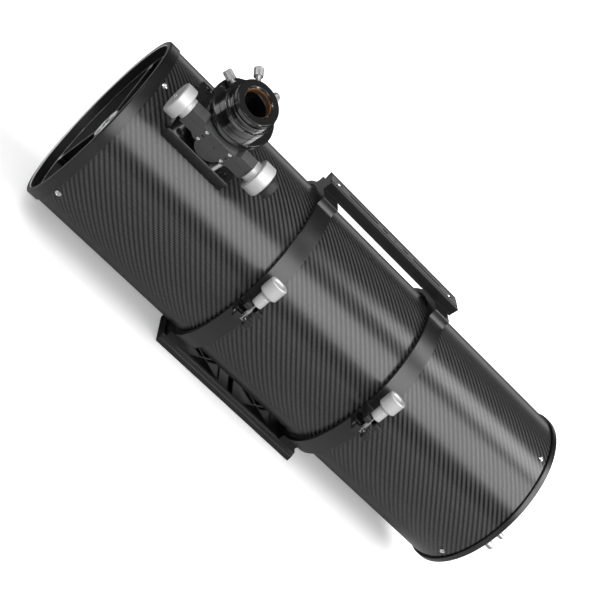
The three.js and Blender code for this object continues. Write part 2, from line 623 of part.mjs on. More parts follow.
// A plain stepped knob with a chamfered head and a dished top.
function clampKnob() {
  const [foot, bore, dish] = [LUG_TOP + GAP, BOLT_RADIUS + GAP, 2];
  const neck = [[foot, bore], [foot, KNOB_NECK_RADIUS], [KNOB_HEAD_BASE - 2, KNOB_NECK_RADIUS]];
  const side = [[KNOB_HEAD_BASE, KNOB_HEAD_RADIUS], [KNOB_TOP - 1, KNOB_HEAD_RADIUS]];
  const rim = [[KNOB_TOP, KNOB_HEAD_RADIUS - 1], [KNOB_TOP, KNOB_HEAD_RADIUS - 3.5]];
  const floor = [[KNOB_TOP - dish, KNOB_HEAD_RADIUS - 4.5], [KNOB_TOP - dish, bore]];
  return turned([...neck, ...side, ...rim, ...floor], SMALL).translate(0, BOLT_Y, 0);
}

function liner(side) {
  const ring = aboutX(sleeve(LINER_INNER, LINER_OUTER, -LINER_WIDTH / 2, LINER_WIDTH / 2, ROUND));
  return common(ring, onSide(side, -50, 50, -150, 150, LINER_END_HEIGHT, 150));
}

[["front", -1], ["rear", 1]].forEach(([place, end]) => {
  const ring = new THREE.Group();
  ring.position.x = RING_MIDDLE_X + end * RING_OFFSET;
  cradle.add(ring);
  add(ring, `ring_lower_${place}`, ringHalf(-1), blackAnodised);
  add(ring, `ring_upper_${place}`, ringHalf(1), blackAnodised);
  add(ring, `felt_lower_${place}`, liner(-1), felt);
  add(ring, `felt_upper_${place}`, liner(1), felt);
  add(ring, `hinge_pin_${place}`, hingeRod(HINGE_PIN_RADIUS, -halfWidth, halfWidth), steel);
  add(ring, `clamp_bolt_${place}`, swingBolt(), steel);
  add(ring, `clamp_knob_${place}`, clampKnob(), silver);
});

// ---- Accessory bar and dovetail plate ----

function accessoryBar() {
  const [grooveFar, grooveNear, grooveFloor, undercut] = [14, 12, BAR_TOP - 1.6, 14.5];
  const side = [[undercut, BAR_BASE], [undercut, BAR_BASE + 4], [BAR_HALF_WIDTH, BAR_TOP - 5]];
  const rail = [[BAR_HALF_WIDTH, BAR_TOP], [grooveFar, BAR_TOP], [grooveFar, grooveFloor]];
  const half = [...side, ...rail, [grooveNear, grooveFloor], [grooveNear, BAR_TOP]];
  const mirrored = half.map(([y, z]) => [-y, z]).reverse();
  const body = prismAlongX(outline([...half, ...mirrored]), -BAR_LENGTH / 2, BAR_LENGTH / 2);
  const slot = ([x, length]) => prismAlongZ(slotShape(x, length, SLOT_WIDTH), BAR_BASE - 5, BAR_TOP + 5);
  const slots = [[-54.8, 49], [54.8, 49], [-17.8, 9.4], [17.8, 9.4]].map(slot);
  const middleHole = rod(1.8, BAR_BASE - 5, BAR_TOP + 5);
  const recess = (end) => rod(5, BAR_TOP - 4, BAR_TOP + 5, SMALL).translate(end * RING_OFFSET, 0, 0);
  return cut(body, ...slots, middleHole, recess(-1), recess(1));
}

// An X of ribs about x: open triangles towards both rails, shallow pockets along the plate.
function latticeCutters(x) {
  const [rib, reach] = [2.2, LATTICE_REACH];
  const open = (side) =>
    outline([[x, side * rib], [x + reach - rib, side * reach], [x - reach + rib, side * reach]]);
  const pocket = (side) =>
    outline([[x + side * rib, 0], [x + side * reach, reach - rib], [x + side * reach, rib - reach]]);
  const through = [-1, 1].map((side) => prismAlongZ(open(side), -AXIS_HEIGHT - 5, PLATE_TOP + 5));
  const shallow = [-1, 1].map((side) => prismAlongZ(pocket(side), PLATE_TOP - 2, PLATE_TOP + 5));
  return [...through, ...shallow];
}

function dovetailPlate() {
  const lip = PLATE_LIP - AXIS_HEIGHT;
  const lower = [[PLATE_HALF_WIDTH, -AXIS_HEIGHT], [PLATE_HALF_WIDTH, lip]];
  const half = [...lower, [PLATE_NECK_HALF_WIDTH, lip + 4], [PLATE_NECK_HALF_WIDTH, PLATE_TOP]];
  const shape = outline([...half, ...half.map(([y, z]) => [-y, z]).reverse()]);
  const body = prismAlongX(shape, -PLATE_LENGTH / 2, PLATE_LENGTH / 2);
  const cutters = [-1, 1].flatMap((end) => latticeCutters(RING_MIDDLE_X + end * LATTICE_OFFSET));
  const [slotHalf, slotFloor] = [4, PLATE_TOP - 8];
  const crossSlot = block(RING_MIDDLE_X - slotHalf, RING_MIDDLE_X + slotHalf, -LATTICE_REACH, LATTICE_REACH,
    slotFloor, PLATE_TOP + 5);
  return cut(body, ...cutters, crossSlot);
}

const bar = add(cradle, "accessory_bar", accessoryBar(), blackAnodised);
bar.position.x = RING_MIDDLE_X;
add(cradle, "dovetail_plate", dovetailPlate(), blackAnodised);

export default telescope;
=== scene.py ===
# Looks of a Newtonian telescope tube assembly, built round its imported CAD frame.
# Shapes are made in millimetres in the frame of the sub-assembly they belong to, then placed in metres.
import json
import math

import bmesh
import bpy
from mathutils import Matrix, Vector


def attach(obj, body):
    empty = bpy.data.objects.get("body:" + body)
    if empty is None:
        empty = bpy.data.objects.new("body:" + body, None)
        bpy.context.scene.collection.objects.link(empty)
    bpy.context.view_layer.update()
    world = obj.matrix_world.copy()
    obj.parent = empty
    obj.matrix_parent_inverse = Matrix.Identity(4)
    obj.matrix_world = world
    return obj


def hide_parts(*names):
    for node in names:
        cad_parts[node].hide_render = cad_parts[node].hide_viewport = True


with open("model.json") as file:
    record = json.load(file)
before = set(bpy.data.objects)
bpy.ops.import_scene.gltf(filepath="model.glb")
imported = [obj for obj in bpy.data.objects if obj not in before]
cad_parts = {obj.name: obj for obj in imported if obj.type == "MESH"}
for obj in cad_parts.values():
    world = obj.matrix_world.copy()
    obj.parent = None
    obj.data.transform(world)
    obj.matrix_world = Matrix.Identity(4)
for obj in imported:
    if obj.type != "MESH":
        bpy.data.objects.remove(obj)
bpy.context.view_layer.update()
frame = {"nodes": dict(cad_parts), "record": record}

MM = 0.001
AXIS_HEIGHT = 141
FRONT_PLANE_X = -346
TUBE_ROLL = math.radians(33.6)
GAP = 0.3

# Tube and end rings. Along the tube, x counts from the front plane.
TUBE_RADIUS = 115
TUBE_BORE = 112
TUBE_START = 3.6
TUBE_END = 661.4
LENGTH = 670.2
SPIDER_SCREW_X = 18.6
VANE_START = 12.6
VANE_END = 36
REAR_SCREW_X = 652.5
TOWS_AROUND = 360
FRONT_RING_BORE = 110
FRONT_RING_RADIUS = 117
FRONT_RING_LENGTH = 14
SLEEVE_END = 12.2
REAR_RING_START = 662.4
REAR_RING_RADIUS = 117.7
REAR_RING_BORE = 104
SLEEVE_BORE = 108.6

# Focuser. z counts outward from the tube axis.
FOCUSER_X = 91.5
MOUTH_RADIUS = 34.5
BASE_TOP = 124.4
TOWER_RADIUS = 35.5
TOWER_TOP = 168.2
SHAFT_Y = -35
SHAFT_Z = 157
SHAFT_RADIUS = 3
HOUSING_FACE_Y = -44
DRAWTUBE_BORE = 29
DRAWTUBE_RADIUS = 32.5
FLANGE_RADIUS = 40
FLANGE_BASE = 168.6
FLANGE_TOP = 176.2
COLLAR_TOP = 190.5
COLLAR_BORE = 25.6
COLLAR_RADIUS = 31.5
COLLAR_SCREW_Z = 183
COLLAR_SCREW_ANGLES = [157.5, 67.5]
ADAPTER_TOP = 202.5
ADAPTER_SCREW_Z = 198
ADAPTER_SCREW_ANGLE = 117
ADAPTER_RADIUS = 27
SHOULDER_RADIUS = 28
THUMB_SCREW_HOLE = 2.3
EYEPIECE_BORE = 15.95
COARSE_RADIUS = 19.5
COARSE_HUB_RADIUS = 12.5
FINE_RADIUS = 11.75

# Mirrors and cell.
PRIMARY_RADIUS = 101.6
PRIMARY_CURVATURE = 1600
PRIMARY_FRONT = 604
PRIMARY_BACK = 628
TRAY_BACK = 640
TRAY_RADIUS = 104.5
TRAY_BORE = 30
FRAME_FRONT = 655.7
FRAME_BACK = 662
CELL_SCREW_RADIUS = 90
CELL_SCREW_ANGLE = 63
CELL_SCREW_SPREAD = 6
SPRING_ROOM = 1.8
HUB_RADIUS = 21
HUB_START = 12
HUB_END = 38
HEAD_SEAT = 5
ADJUSTER_CIRCLE = 13
TILT_RADIUS = 2
TILT_HEAD_RADIUS = 3.2
CENTRE_RADIUS = 3
CENTRE_HEAD_RADIUS = 5.5
SECONDARY_RADIUS = 33
SECONDARY_HOLDER_RADIUS = 31
SECONDARY_HOLDER_START = 50
SECONDARY_THICKNESS = 10

# Tube rings, plate and bar. Heights count from the tube axis.
RING_MIDDLE_X = -1.5
RING_OFFSET = 96.2
RING_HALF_WIDTH = 11.75
RING_OUTER = 122.5
RING_INNER = 117.3
SPLIT_HALF_GAP = 0.5
FOOT_HALF_WIDTH = 32
FOOT_HEIGHT = 128
HINGE_Y = 128
KNUCKLE_RADIUS = 5.5
HINGE_PIN_RADIUS = 2.5
BOLT_Y = -139.5
BOLT_RADIUS = 3
CROSS_PIN_Z = -7.5
CROSS_PIN_RADIUS = 2.5
CROSS_PIN_HALF_LENGTH = 12.5
LUG_REACH = -149
LUG_ROOT_Y = -110
LUG_TOP = 14.5
UPPER_LUG_BASE = 6.5
LOWER_LUG_TOP = -2.5
LOWER_LUG_BASE = -11.5
LUG_SLOT_HALF = 3.5
KNOB_NECK_RADIUS = 7
KNOB_HEAD_RADIUS = 11.6
KNOB_HEAD_BASE = 33
KNOB_TOP = 50
BAR_LENGTH = 219.7
BAR_HALF_WIDTH = 18
BAR_BASE = 128.3
BAR_TOP = 142.2

THIRDS = [0, 120, 240]
QUARTERS = [0, 90, 180, 270]

# Segments of round shapes.
SMOOTH = 192
MEDIUM = 96
SMALL = 48
HEXAGON = 6

# Edges sharper than the first angle are bevelled, and faces that meet flatter than the second are merged.
SHARP_ANGLE = math.radians(32)
FLAT_ANGLE = math.radians(0.4)
NORMAL_WEIGHT = 80

# A socket's radius as a share of its screw head's.
SOCKET_SHARE = 0.52

# ---- Places ----

cradle = Matrix.Translation((0, 0, AXIS_HEIGHT))
tube = Matrix.Translation((FRONT_PLANE_X, 0, AXIS_HEIGHT)) @ Matrix.Rotation(TUBE_ROLL, 4, "X")
focuser = tube @ Matrix.Translation((FOCUSER_X, 0, 0))
along_x = Matrix.Rotation(math.pi / 2, 4, "Y")
body_of_node = {n: b for b, ns in frame["record"]["behaviour"]["bodies"].items() for n in ns}


def move(x=0.0, y=0.0, z=0.0):
    return Matrix.Translation((x, y, z))


def about_tube(degrees):
    return Matrix.Rotation(math.radians(degrees), 4, "X")


def radial(degrees, height):
    """From a shape along +Z to one that points away from the focuser's axis."""
    return move(z=height) @ Matrix.Rotation(math.radians(degrees), 4, "Z") @ along_x


def cell_screw(third, side):
    """Place of a shape along the tube at one of the cell's three pairs of screws."""
    angle = CELL_SCREW_ANGLE - third - side * CELL_SCREW_SPREAD
    return about_tube(angle) @ move(z=CELL_SCREW_RADIUS)


# ---- Shapes: closed meshes in millimetres ----


def mesh_from(work):
    bmesh.ops.recalc_face_normals(work, faces=work.faces)
    mesh = bpy.data.meshes.new("shape")
    work.to_mesh(mesh)
    work.free()
    return mesh


def placed(mesh, matrix):
    mesh.transform(matrix)
    return mesh


def rounded(profile, radius, closed):
    """The profile with each real corner replaced by a short arc."""
    if radius <= 0:
        return profile
    points = [Vector(p) for p in profile]
    count = len(points)
    result = []
    for i, corner in enumerate(points):
        at_end = not closed and i in (0, count - 1)
        before = points[i - 1] - corner
        after = points[(i + 1) % count] - corner
        bend = 0 if at_end or not before.length or not after.length else math.pi - before.angle(after)
        if abs(bend) < math.radians(20):
            result.append(corner)
            continue
        reach = min(radius * math.tan(abs(bend) / 2), before.length * 0.4, after.length * 0.4)
        start = corner + before.normalized() * reach
        end = corner + after.normalized() * reach
        for step in (0.0, 0.33, 0.67, 1.0):
            result.append(start.lerp(corner, step).lerp(corner.lerp(end, step), step))
    return [tuple(p) for p in result]


def turned(profile, segments=MEDIUM, fillet=0.4, ribs=None):
    """A profile of (height, radius) turned about +Z. ribs is (low, high, least radius, depth) of a knurl."""
    closed = profile[0][1] > 0
    points = rounded(profile, fillet, closed)
    work = bmesh.new()
    rings = []
    for height, radius in points:
        if radius < 1e-6:
            rings.append([work.verts.new((0, 0, height))])
            continue
        ring = []
        for i in range(segments):
            angle = 2 * math.pi * i / segments
            knurled = ribs and ribs[0] < height < ribs[1] and radius > ribs[2]
            r = radius - (ribs[3] * (i % 4 in (0, 1)) if knurled else 0)
            ring.append(work.verts.new((r * math.cos(angle), r * math.sin(angle), height)))
        rings.append(ring)
    pairs = list(zip(rings, rings[1:] + rings[:1])) if closed else list(zip(rings, rings[1:]))
    for a, b in pairs:
        for i in range(segments):
            j = (i + 1) % segments
            corners = [a[i % len(a)], a[j % len(a)], b[j % len(b)], b[i % len(b)]]
            unique = list(dict.fromkeys(corners))
            if len(unique) > 2:
                work.faces.new(unique)
    return mesh_from(work)


def rod(radius, start, end, segments=SMALL, fillet=0.0):
    return turned([(start, 0), (start, radius), (end, radius), (end, 0)], segments, fillet)


def block(x0, x1, y0, y1, z0, z1):
    work = bmesh.new()
    bmesh.ops.create_cube(work, size=1)
    mesh = mesh_from(work)
    size = Matrix.Diagonal((x1 - x0, y1 - y0, z1 - z0, 1))
    return placed(mesh, move((x0 + x1) / 2, (y0 + y1) / 2, (z0 + z1) / 2) @ size)


def prism(outline, start, end):
    """An outline in x and y, extruded along z."""
    work = bmesh.new()
    low = [work.verts.new((x, y, start)) for x, y in outline]
    high = [work.verts.new((x, y, end)) for x, y in outline]
    work.faces.new(low)
    work.faces.new(high)
    for i in range(len(outline)):
        j = (i + 1) % len(outline)
        work.faces.new([low[i], low[j], high[j], high[i]])
    return mesh_from(work)


def prism_along_x(outline, start, end):
    """An outline in y and z, extruded along x."""
    turn = Matrix(((0, 0, 1, 0), (1, 0, 0, 0), (0, 1, 0, 0), (0, 0, 0, 1)))
    return placed(prism(outline, start, end), turn)


def prism_along_y(outline, start, end):
    """An outline in x and z, extruded along y."""
    turn = Matrix(((1, 0, 0, 0), (0, 0, -1, 0), (0, 1, 0, 0), (0, 0, 0, 1)))
    return placed(prism(outline, -end, -start), turn)


def arc(centre, radius, start, end, steps):
    """Points on an arc, with its angles in degrees."""
    angles = [math.radians(start + (end - start) * i / steps) for i in range(steps + 1)]
    return [(centre[0] + radius * math.cos(a), centre[1] + radius * math.sin(a)) for a in angles]


def slot_outline(x, length, width):
    half = (length - width) / 2
    right = arc((x + half, 0), width / 2, -90, 90, 12)
    return right + arc((x - half, 0), width / 2, 90, 270, 12)


def combined(operation, body, tools):
    """The boolean of a mesh with each tool in turn."""
    collection = bpy.context.scene.collection
    base = bpy.data.objects.new("base", body)
    collection.objects.link(base)
    helpers = []
    for tool in tools:
        helper = bpy.data.objects.new("tool", tool)
        collection.objects.link(helper)
        helpers.append(helper)
        modifier = base.modifiers.new("step", "BOOLEAN")
        modifier.operation = operation
        modifier.object = helper
        modifier.solver = "MANIFOLD"
    graph = bpy.context.evaluated_depsgraph_get()
    result = bpy.data.meshes.new_from_object(base.evaluated_get(graph))
    for item in [base, *helpers]:
        bpy.data.objects.remove(item)
    return result


def cut(body, *tools):
    return combined("DIFFERENCE", body, tools)


def join(body, *tools):
    return combined("UNION", body, tools)


def common(body, tool):
    return combined("INTERSECT", body, [tool])


# ---- Materials ----


class Shader:
    """A node material with a Principled surface, and short ways to add nodes to it."""

    def __init__(self, name):
        self.material = bpy.data.materials.new(name)
        self.material.use_nodes = True
        self.tree = self.material.node_tree
        self.surface = self.tree.nodes["Principled BSDF"]
        self.place = self.add("ShaderNodeTexCoord").outputs["Object"]

    def add(self, kind, inputs=None, **settings):
        made = self.tree.nodes.new(kind)
        for key, value in settings.items():
            setattr(made, key, value)
        for key, value in (inputs or {}).items():
            self.feed(made.inputs[key], value)
        return made

    def feed(self, socket, value):
        if isinstance(value, bpy.types.NodeSocket):
            self.tree.links.new(value, socket)
        else:
            socket.default_value = value

    def set(self, **inputs):
        for key, value in inputs.items():
            self.feed(self.surface.inputs[key.replace("_", " ")], value)

    def math(self, operation, a, b=0.0, c=0.0):
        return self.add("ShaderNodeMath", {0: a, 1: b, 2: c}, operation=operation).outputs[0]

    def noise(self, scale, detail=2.0, stretch=(1, 1, 1)):
        where = self.add("ShaderNodeMapping", {"Vector": self.place, "Scale": stretch}).outputs[0]
        inputs = {"Vector": where, "Scale": scale, "Detail": detail}
        return self.add("ShaderNodeTexNoise", inputs).outputs["Fac"]

    def spread(self, value, low, high):
        """A 0 to 1 value spread between two numbers."""
        return self.add("ShaderNodeMapRange", {"Value": value, "To Min": low, "To Max": high}).outputs[0]

    def bump(self, height, strength, distance=0.0002):
        inputs = {"Height": height, "Strength": strength, "Distance": distance}
        return self.add("ShaderNodeBump", inputs).outputs["Normal"]


def grey(value, blue=1.0):
    return (value, value, value * blue, 1)


def mix_colours(shader, factor, a, b):
    """Colours mixed by a factor, through the Mix node's colour sockets."""
    node = shader.tree.nodes.new("ShaderNodeMix")
    node.data_type = "RGBA"
    colours = [s for s in node.inputs if s.type == "RGBA"]
    shader.feed(node.inputs[0], factor)
    shader.feed(colours[0], a)
    shader.feed(colours[1], b)
    return [s for s in node.outputs if s.type == "RGBA"][0]


def carbon_weave():
    """Two-by-two twill of 2 mm tows under a satin clear coat, laid round the tube's axis."""
    shader = Shader("carbon_weave")
    to_axis = (0, 0, -AXIS_HEIGHT * MM)
    centred = shader.add("ShaderNodeVectorMath", {0: shader.place, 1: to_axis}, operation="ADD")
    split = shader.add("ShaderNodeSeparateXYZ", {0: centred.outputs[0]}).outputs
    turns = shader.math("ARCTAN2", split["Z"], split["Y"])
    tow = 2 * math.pi * TUBE_RADIUS * MM / TOWS_AROUND
    around = shader.math("MULTIPLY_ADD", turns, TOWS_AROUND / (2 * math.pi), TOWS_AROUND)
    along = shader.math("MULTIPLY_ADD", split["X"], 1 / tow, TOWS_AROUND)
    step = shader.math("SUBTRACT", shader.math("FLOOR", along), shader.math("FLOOR", around))
    phase = shader.math("MODULO", shader.math("ADD", step, 4 * TOWS_AROUND), 4)
    lengthwise = shader.math("LESS_THAN", phase, 1.5)

    def crown(position):
        """The rounded height across a tow, from a position counted in tows."""
        return shader.math("SINE", shader.math("MULTIPLY", shader.math("FRACT", position), math.pi))

    def by_tow(crosswise_value, lengthwise_value):
        inputs = {0: lengthwise, 2: crosswise_value, 3: lengthwise_value}
        return shader.add("ShaderNodeMix", inputs).outputs[0]

    fibres_long = shader.noise(220, 3.0, (0.15, 6, 6))
    fibres_round = shader.noise(220, 3.0, (8, 0.3, 0.3))
    fibres = by_tow(fibres_round, fibres_long)
    patches = shader.noise(9, 3.0)
    # The lengthwise tows are painted lighter than the crosswise ones: a painted sheen of the tow direction.
    # The fibre noise and the patches are the tows' own tone.
    dark = mix_colours(shader, fibres, grey(0.001), grey(0.006))
    light = mix_colours(shader, fibres, grey(0.016), grey(0.064))
    base = mix_colours(shader, lengthwise, dark, light)
    shader.set(Base_Color=mix_colours(shader, shader.spread(patches, 0.0, 0.15), base, grey(0.02)))
    shader.set(Specular_IOR_Level=0.0, Roughness=by_tow(0.60, 0.48))
    relief = shader.math("ADD", by_tow(crown(along), crown(around)), shader.math("MULTIPLY", fibres, 0.3))
    shader.set(Normal=shader.bump(relief, 0.35))
    shader.set(Coat_Weight=0.85, Coat_Roughness=shader.spread(patches, 0.20, 0.27), Coat_IOR=1.5)
    return shader.material


def anodised(name, base, roughness, spread, metallic=0.0, grain=0.06, lacquer=0.0):
    """A hard, slightly mottled anodised coat with the finest blasted grain."""
    shader = Shader(name)
    mottle = shader.noise(60, 4.0)
    colour = mix_colours(shader, mottle, grey(base * 0.75), grey(base * 1.3, 1.03))
    shader.set(Base_Color=colour, Metallic=metallic)
    shader.set(Roughness=shader.spread(mottle, roughness - spread, roughness + spread))
    shader.set(Normal=shader.bump(shader.noise(4200, 1.0), grain, 0.00005))
    shader.set(Coat_Weight=lacquer, Coat_Roughness=0.11, Coat_IOR=1.6)
    return shader.material


def bright_metal(name, colour, roughness, grain, metallic=1.0):
    """Machined metal: fine turning marks with faint handling stains."""
    shader = Shader(name)
    stains = shader.noise(45, 5.0)
    marks = shader.noise(2600, 2.0)
    darker = tuple(c * 0.86 for c in colour[:3]) + (1,)
    shader.set(Base_Color=mix_colours(shader, stains, darker, colour), Metallic=metallic)
    rough = shader.spread(stains, roughness * 0.8, roughness * 1.25)
    shader.set(Roughness=shader.math("ADD", rough, shader.spread(marks, -0.03, 0.03)))
    shader.set(Normal=shader.bump(marks, grain, 0.00005))
    return shader.material


def felt_pile():
    shader = Shader("felt_pile")
    pile = shader.noise(900, 6.0)
    shader.set(Base_Color=mix_colours(shader, pile, grey(0.004), grey(0.03)))
    shader.set(Roughness=0.95, Sheen_Weight=0.4, Sheen_Roughness=0.5)
    shader.set(Normal=shader.bump(pile, 0.8, 0.0004))
    return shader.material


def baffle_paint():
    """Flat black paint inside the tube."""
    shader = Shader("baffle_paint")
    orange_peel = shader.noise(500, 4.0)
    shader.set(Base_Color=mix_colours(shader, orange_peel, grey(0.006), grey(0.016)), Roughness=0.8)
    shader.set(Normal=shader.bump(orange_peel, 0.3, 0.0002))
    return shader.material


def mirror_face():
    shader = Shader("mirror_face")
    haze = shader.noise(12, 4.0)
    shader.set(Base_Color=mix_colours(shader, haze, grey(0.88), grey(0.95)), Metallic=1.0)
    shader.set(Roughness=shader.spread(haze, 0.01, 0.04))
    return shader.material


def ground_glass():
    shader = Shader("ground_glass")
    grind = shader.noise(800, 4.0)
    shader.set(Base_Color=mix_colours(shader, grind, (0.25, 0.33, 0.32, 1), (0.42, 0.50, 0.48, 1)))
    shader.set(Roughness=0.55, Normal=shader.bump(grind, 0.2, 0.0001))
    return shader.material


materials = {
    "carbon_tube": carbon_weave(),
    "black_anodised": anodised("black_anodised", 0.005, 0.32, 0.05),
    "plate_black": anodised("plate_black", 0.013, 0.42, 0.06),
    "satin_black": anodised("satin_black", 0.009, 0.48, 0.06),
    "grey_anodised": anodised("grey_anodised", 0.060, 0.36, 0.05, 0.3),
    "gloss_black": anodised("gloss_black", 0.004, 0.09, 0.03, 0.0, 0.01, 1.0),
    "silver_anodised": bright_metal("silver_anodised", (0.50, 0.50, 0.50, 1), 0.48, 0.10, 0.5),
    # painted_highlight_edge: bright paint laid on front edges and faces as a painted highlight.
    "painted_highlight_edge": bright_metal("painted_highlight_edge", (0.90, 0.90, 0.90, 1), 0.5, 0.05, 0.3),
    "nickel": bright_metal("nickel", (0.42, 0.42, 0.42, 1), 0.34, 0.10, 0.8),
    "chrome_screw": bright_metal("chrome_screw", (0.80, 0.80, 0.80, 1), 0.12, 0.02),
    "steel": bright_metal("steel", (0.40, 0.40, 0.41, 1), 0.26, 0.06),
    "brass_ring": bright_metal("brass_ring", (0.24, 0.12, 0.055, 1), 0.26, 0.10, 0.7),
    "felt": felt_pile(),
    "mirror_coating": mirror_face(),
    "ground_glass": ground_glass(),
    "baffle_paint": baffle_paint(),
}

# ---- Pieces ----


def softened(mesh, bevel):
    """The mesh with coplanar faces merged and its sharp edges bevelled."""
    work = bmesh.new()
    work.from_mesh(mesh)
    bmesh.ops.remove_doubles(work, verts=work.verts, dist=0.002)
    bmesh.ops.dissolve_limit(work, angle_limit=FLAT_ANGLE, verts=work.verts, edges=work.edges)
    if bevel > 0:
        sharp = [e for e in work.edges if len(e.link_faces) == 2 and e.calc_face_angle(0) > SHARP_ANGLE]
        settings = {"segments": 2, "profile": 0.5, "affect": "EDGES", "clamp_overlap": False}
        bmesh.ops.bevel(work, geom=sharp, offset=bevel, **settings)
    work.to_mesh(mesh)
    work.free()


def piece(name, mesh, matrix, finish, nodes=(), body="tube", bevel=None):
    """A finished piece: placed, shaded smooth, painted, and riding on the body of the nodes it stands for."""
    if bevel is not None:
        softened(mesh, bevel)
    mesh.transform(Matrix.Scale(MM, 4) @ matrix)
    mesh.name = name
    item = bpy.data.objects.new(name, mesh)
    bpy.context.scene.collection.objects.link(item)
    mesh.shade_smooth()
    smooth = item.modifiers.new("normals", "WEIGHTED_NORMAL")
    smooth.weight = NORMAL_WEIGHT
    mesh.materials.clear()
    mesh.materials.append(materials[finish])
    nodes = [nodes] if isinstance(nodes, str) else list(nodes)
    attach(item, body_of_node[nodes[0]] if nodes else body)
    if nodes:
        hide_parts(*nodes)
    return item


def paint(item, finish, chosen):
    """Gives another finish to the faces whose centre, in the row frame's millimetres, is chosen."""
    item.data.materials.append(materials[finish])
    index = len(item.data.materials) - 1
    for face in item.data.polygons:
        if chosen(face.center / MM, face.normal):
            face.material_index = index


def keep_node(node, finish, bevel=0.25):
    """A CAD node shown as it is, with bevelled edges and its own material."""
    item = frame["nodes"][node]
    item.data.materials.clear()
    item.data.materials.append(materials[finish])
    weld = item.modifiers.new("weld", "WELD")
    weld.merge_threshold = 0.00001
    flat = item.modifiers.new("flat", "DECIMATE")
    flat.decimate_type = "DISSOLVE"
    flat.angle_limit = math.radians(0.5)
    edge = item.modifiers.new("edge", "BEVEL")
    edge.width = bevel * MM
    edge.segments = 2
    edge.limit_method = "ANGLE"
    edge.angle_limit = SHARP_ANGLE
    item.data.shade_smooth()
    normals = item.modifiers.new("normals", "WEIGHTED_NORMAL")
    normals.weight = NORMAL_WEIGHT


def domed_head(radius, base, height):
    """Profile of a pan head from its flat underside to the middle of its dome."""
    return [(base, radius), (base + height * 0.45, radius), (base + height * 0.8, radius * 0.8),
            (base + height * 0.96, radius * 0.45), (base + height, 0)]


def cross_recess(radius, top):
    arm = radius * 0.55
    half = radius * 0.13
    depth = radius * 0.4
    return [block(-arm, arm, -half, half, top - depth, top + 1),
            block(-half, half, -arm, arm, top - depth, top + 1)]


def cross_screw(shank, head_radius, start, base, height):
    """A cross-recessed pan-head screw along +Z."""
    profile = [(start, 0), (start, shank), (base, shank), *domed_head(head_radius, base, height)]
    return cut(turned(profile, SMALL, 0.15), *cross_recess(head_radius, base + height))


def socket_screw(shank, head_radius, start, base, height):
    """A cap screw with a hexagon socket, along +Z."""
    profile = [(start, 0), (start, shank), (base, shank), (base, head_radius),
               (base + height, head_radius), (base + height, 0)]
    socket = rod(head_radius * SOCKET_SHARE, base + height * 0.35, base + height + 1, HEXAGON)
    return cut(turned(profile, SMALL, 0.3), socket)


def threaded(start, end, radius, pitch):
    """Profile points of a fine thread between two heights."""
    count = int((end - start) / pitch)
    points = []
    for i in range(count):
        points.append((start + i * pitch, radius))
        points.append((start + (i + 0.5) * pitch, radius - pitch * 0.45))
    return [*points, (end, radius)]


def coil_spring(name, matrix, start, end, radius, wire, coils):
    """A compression spring along +Z with a round wire."""
    path = []
    steps_per_coil = 28
    steps = coils * steps_per_coil
    for i in range(steps + 1):
        angle = 2 * math.pi * coils * i / steps
        height = start + wire + (end - start - 2 * wire) * i / steps
        path.append(Vector((radius * math.cos(angle), radius * math.sin(angle), height)))
    work = bmesh.new()
    sides = 10
    rings = []
    for i, centre in enumerate(path):
        ahead = (path[min(i + 1, steps)] - path[max(i - 1, 0)]).normalized()
        out = Vector((centre.x, centre.y, 0)).normalized()
        up = ahead.cross(out)
        turn = [2 * math.pi * k / sides for k in range(sides)]
        rings.append([work.verts.new(centre + wire * (math.cos(a) * out + math.sin(a) * up)) for a in turn])
    for a, b in zip(rings, rings[1:]):
        for k in range(sides):
            work.faces.new([a[k], a[(k + 1) % sides], b[(k + 1) % sides], b[k]])
    work.faces.new(rings[0])
    work.faces.new(rings[-1])
    piece(name, mesh_from(work), matrix, "steel")


# ---- Tube and end rings ----


def build_tube():
    beside = MOUTH_RADIUS + 1.5
    stations = [TUBE_START, FOCUSER_X - beside, FOCUSER_X + beside, TUBE_END]
    outer_wall = [(x, TUBE_RADIUS) for x in stations]
    inner_wall = [(x, TUBE_BORE) for x in reversed(stations)]
    wall = turned(outer_wall + inner_wall, SMOOTH, 0)
    mouth = placed(rod(MOUTH_RADIUS, 90, 130, MEDIUM), move(FOCUSER_X))
    shell = piece("tube_shell", cut(placed(wall, along_x), mouth), tube, "carbon_tube", "main_tube")
    centre = Vector((0, 0, AXIS_HEIGHT))
    limit = (TUBE_RADIUS + TUBE_BORE) / 2

    def inside(place, normal):
        return (Vector((0, place.y, place.z)) - centre).length < limit

    paint(shell, "baffle_paint", inside)


def build_vanes():
    """Four thin blades from the hub to the wall, each with a drilled foot and its front edge painted bright,
    a painted highlight.
    """
    facing = tube.to_3x3() @ Vector((-1, 0, 0))
    half, foot_half, foot_end = 0.5, 4, 25
    for i, angle in enumerate(QUARTERS):
        blade = block(VANE_START, VANE_END, -half, half, HUB_RADIUS + GAP, 106)
        foot = block(VANE_START, foot_end, -foot_half, foot_half, 103, 111.3)
        vane = cut(join(blade, foot), placed(rod(2.3, 104.5, 120), move(SPIDER_SCREW_X)))
        spot = tube @ about_tube(angle)
        item = piece(f"vane_{i + 1}", vane, spot, "black_anodised", f"spider_vane_{i + 1}", bevel=0.15)
        # The front edge of each blade is painted bright: a painted highlight.
        paint(item, "painted_highlight_edge", lambda place, normal: normal.dot(facing) > 0.6)


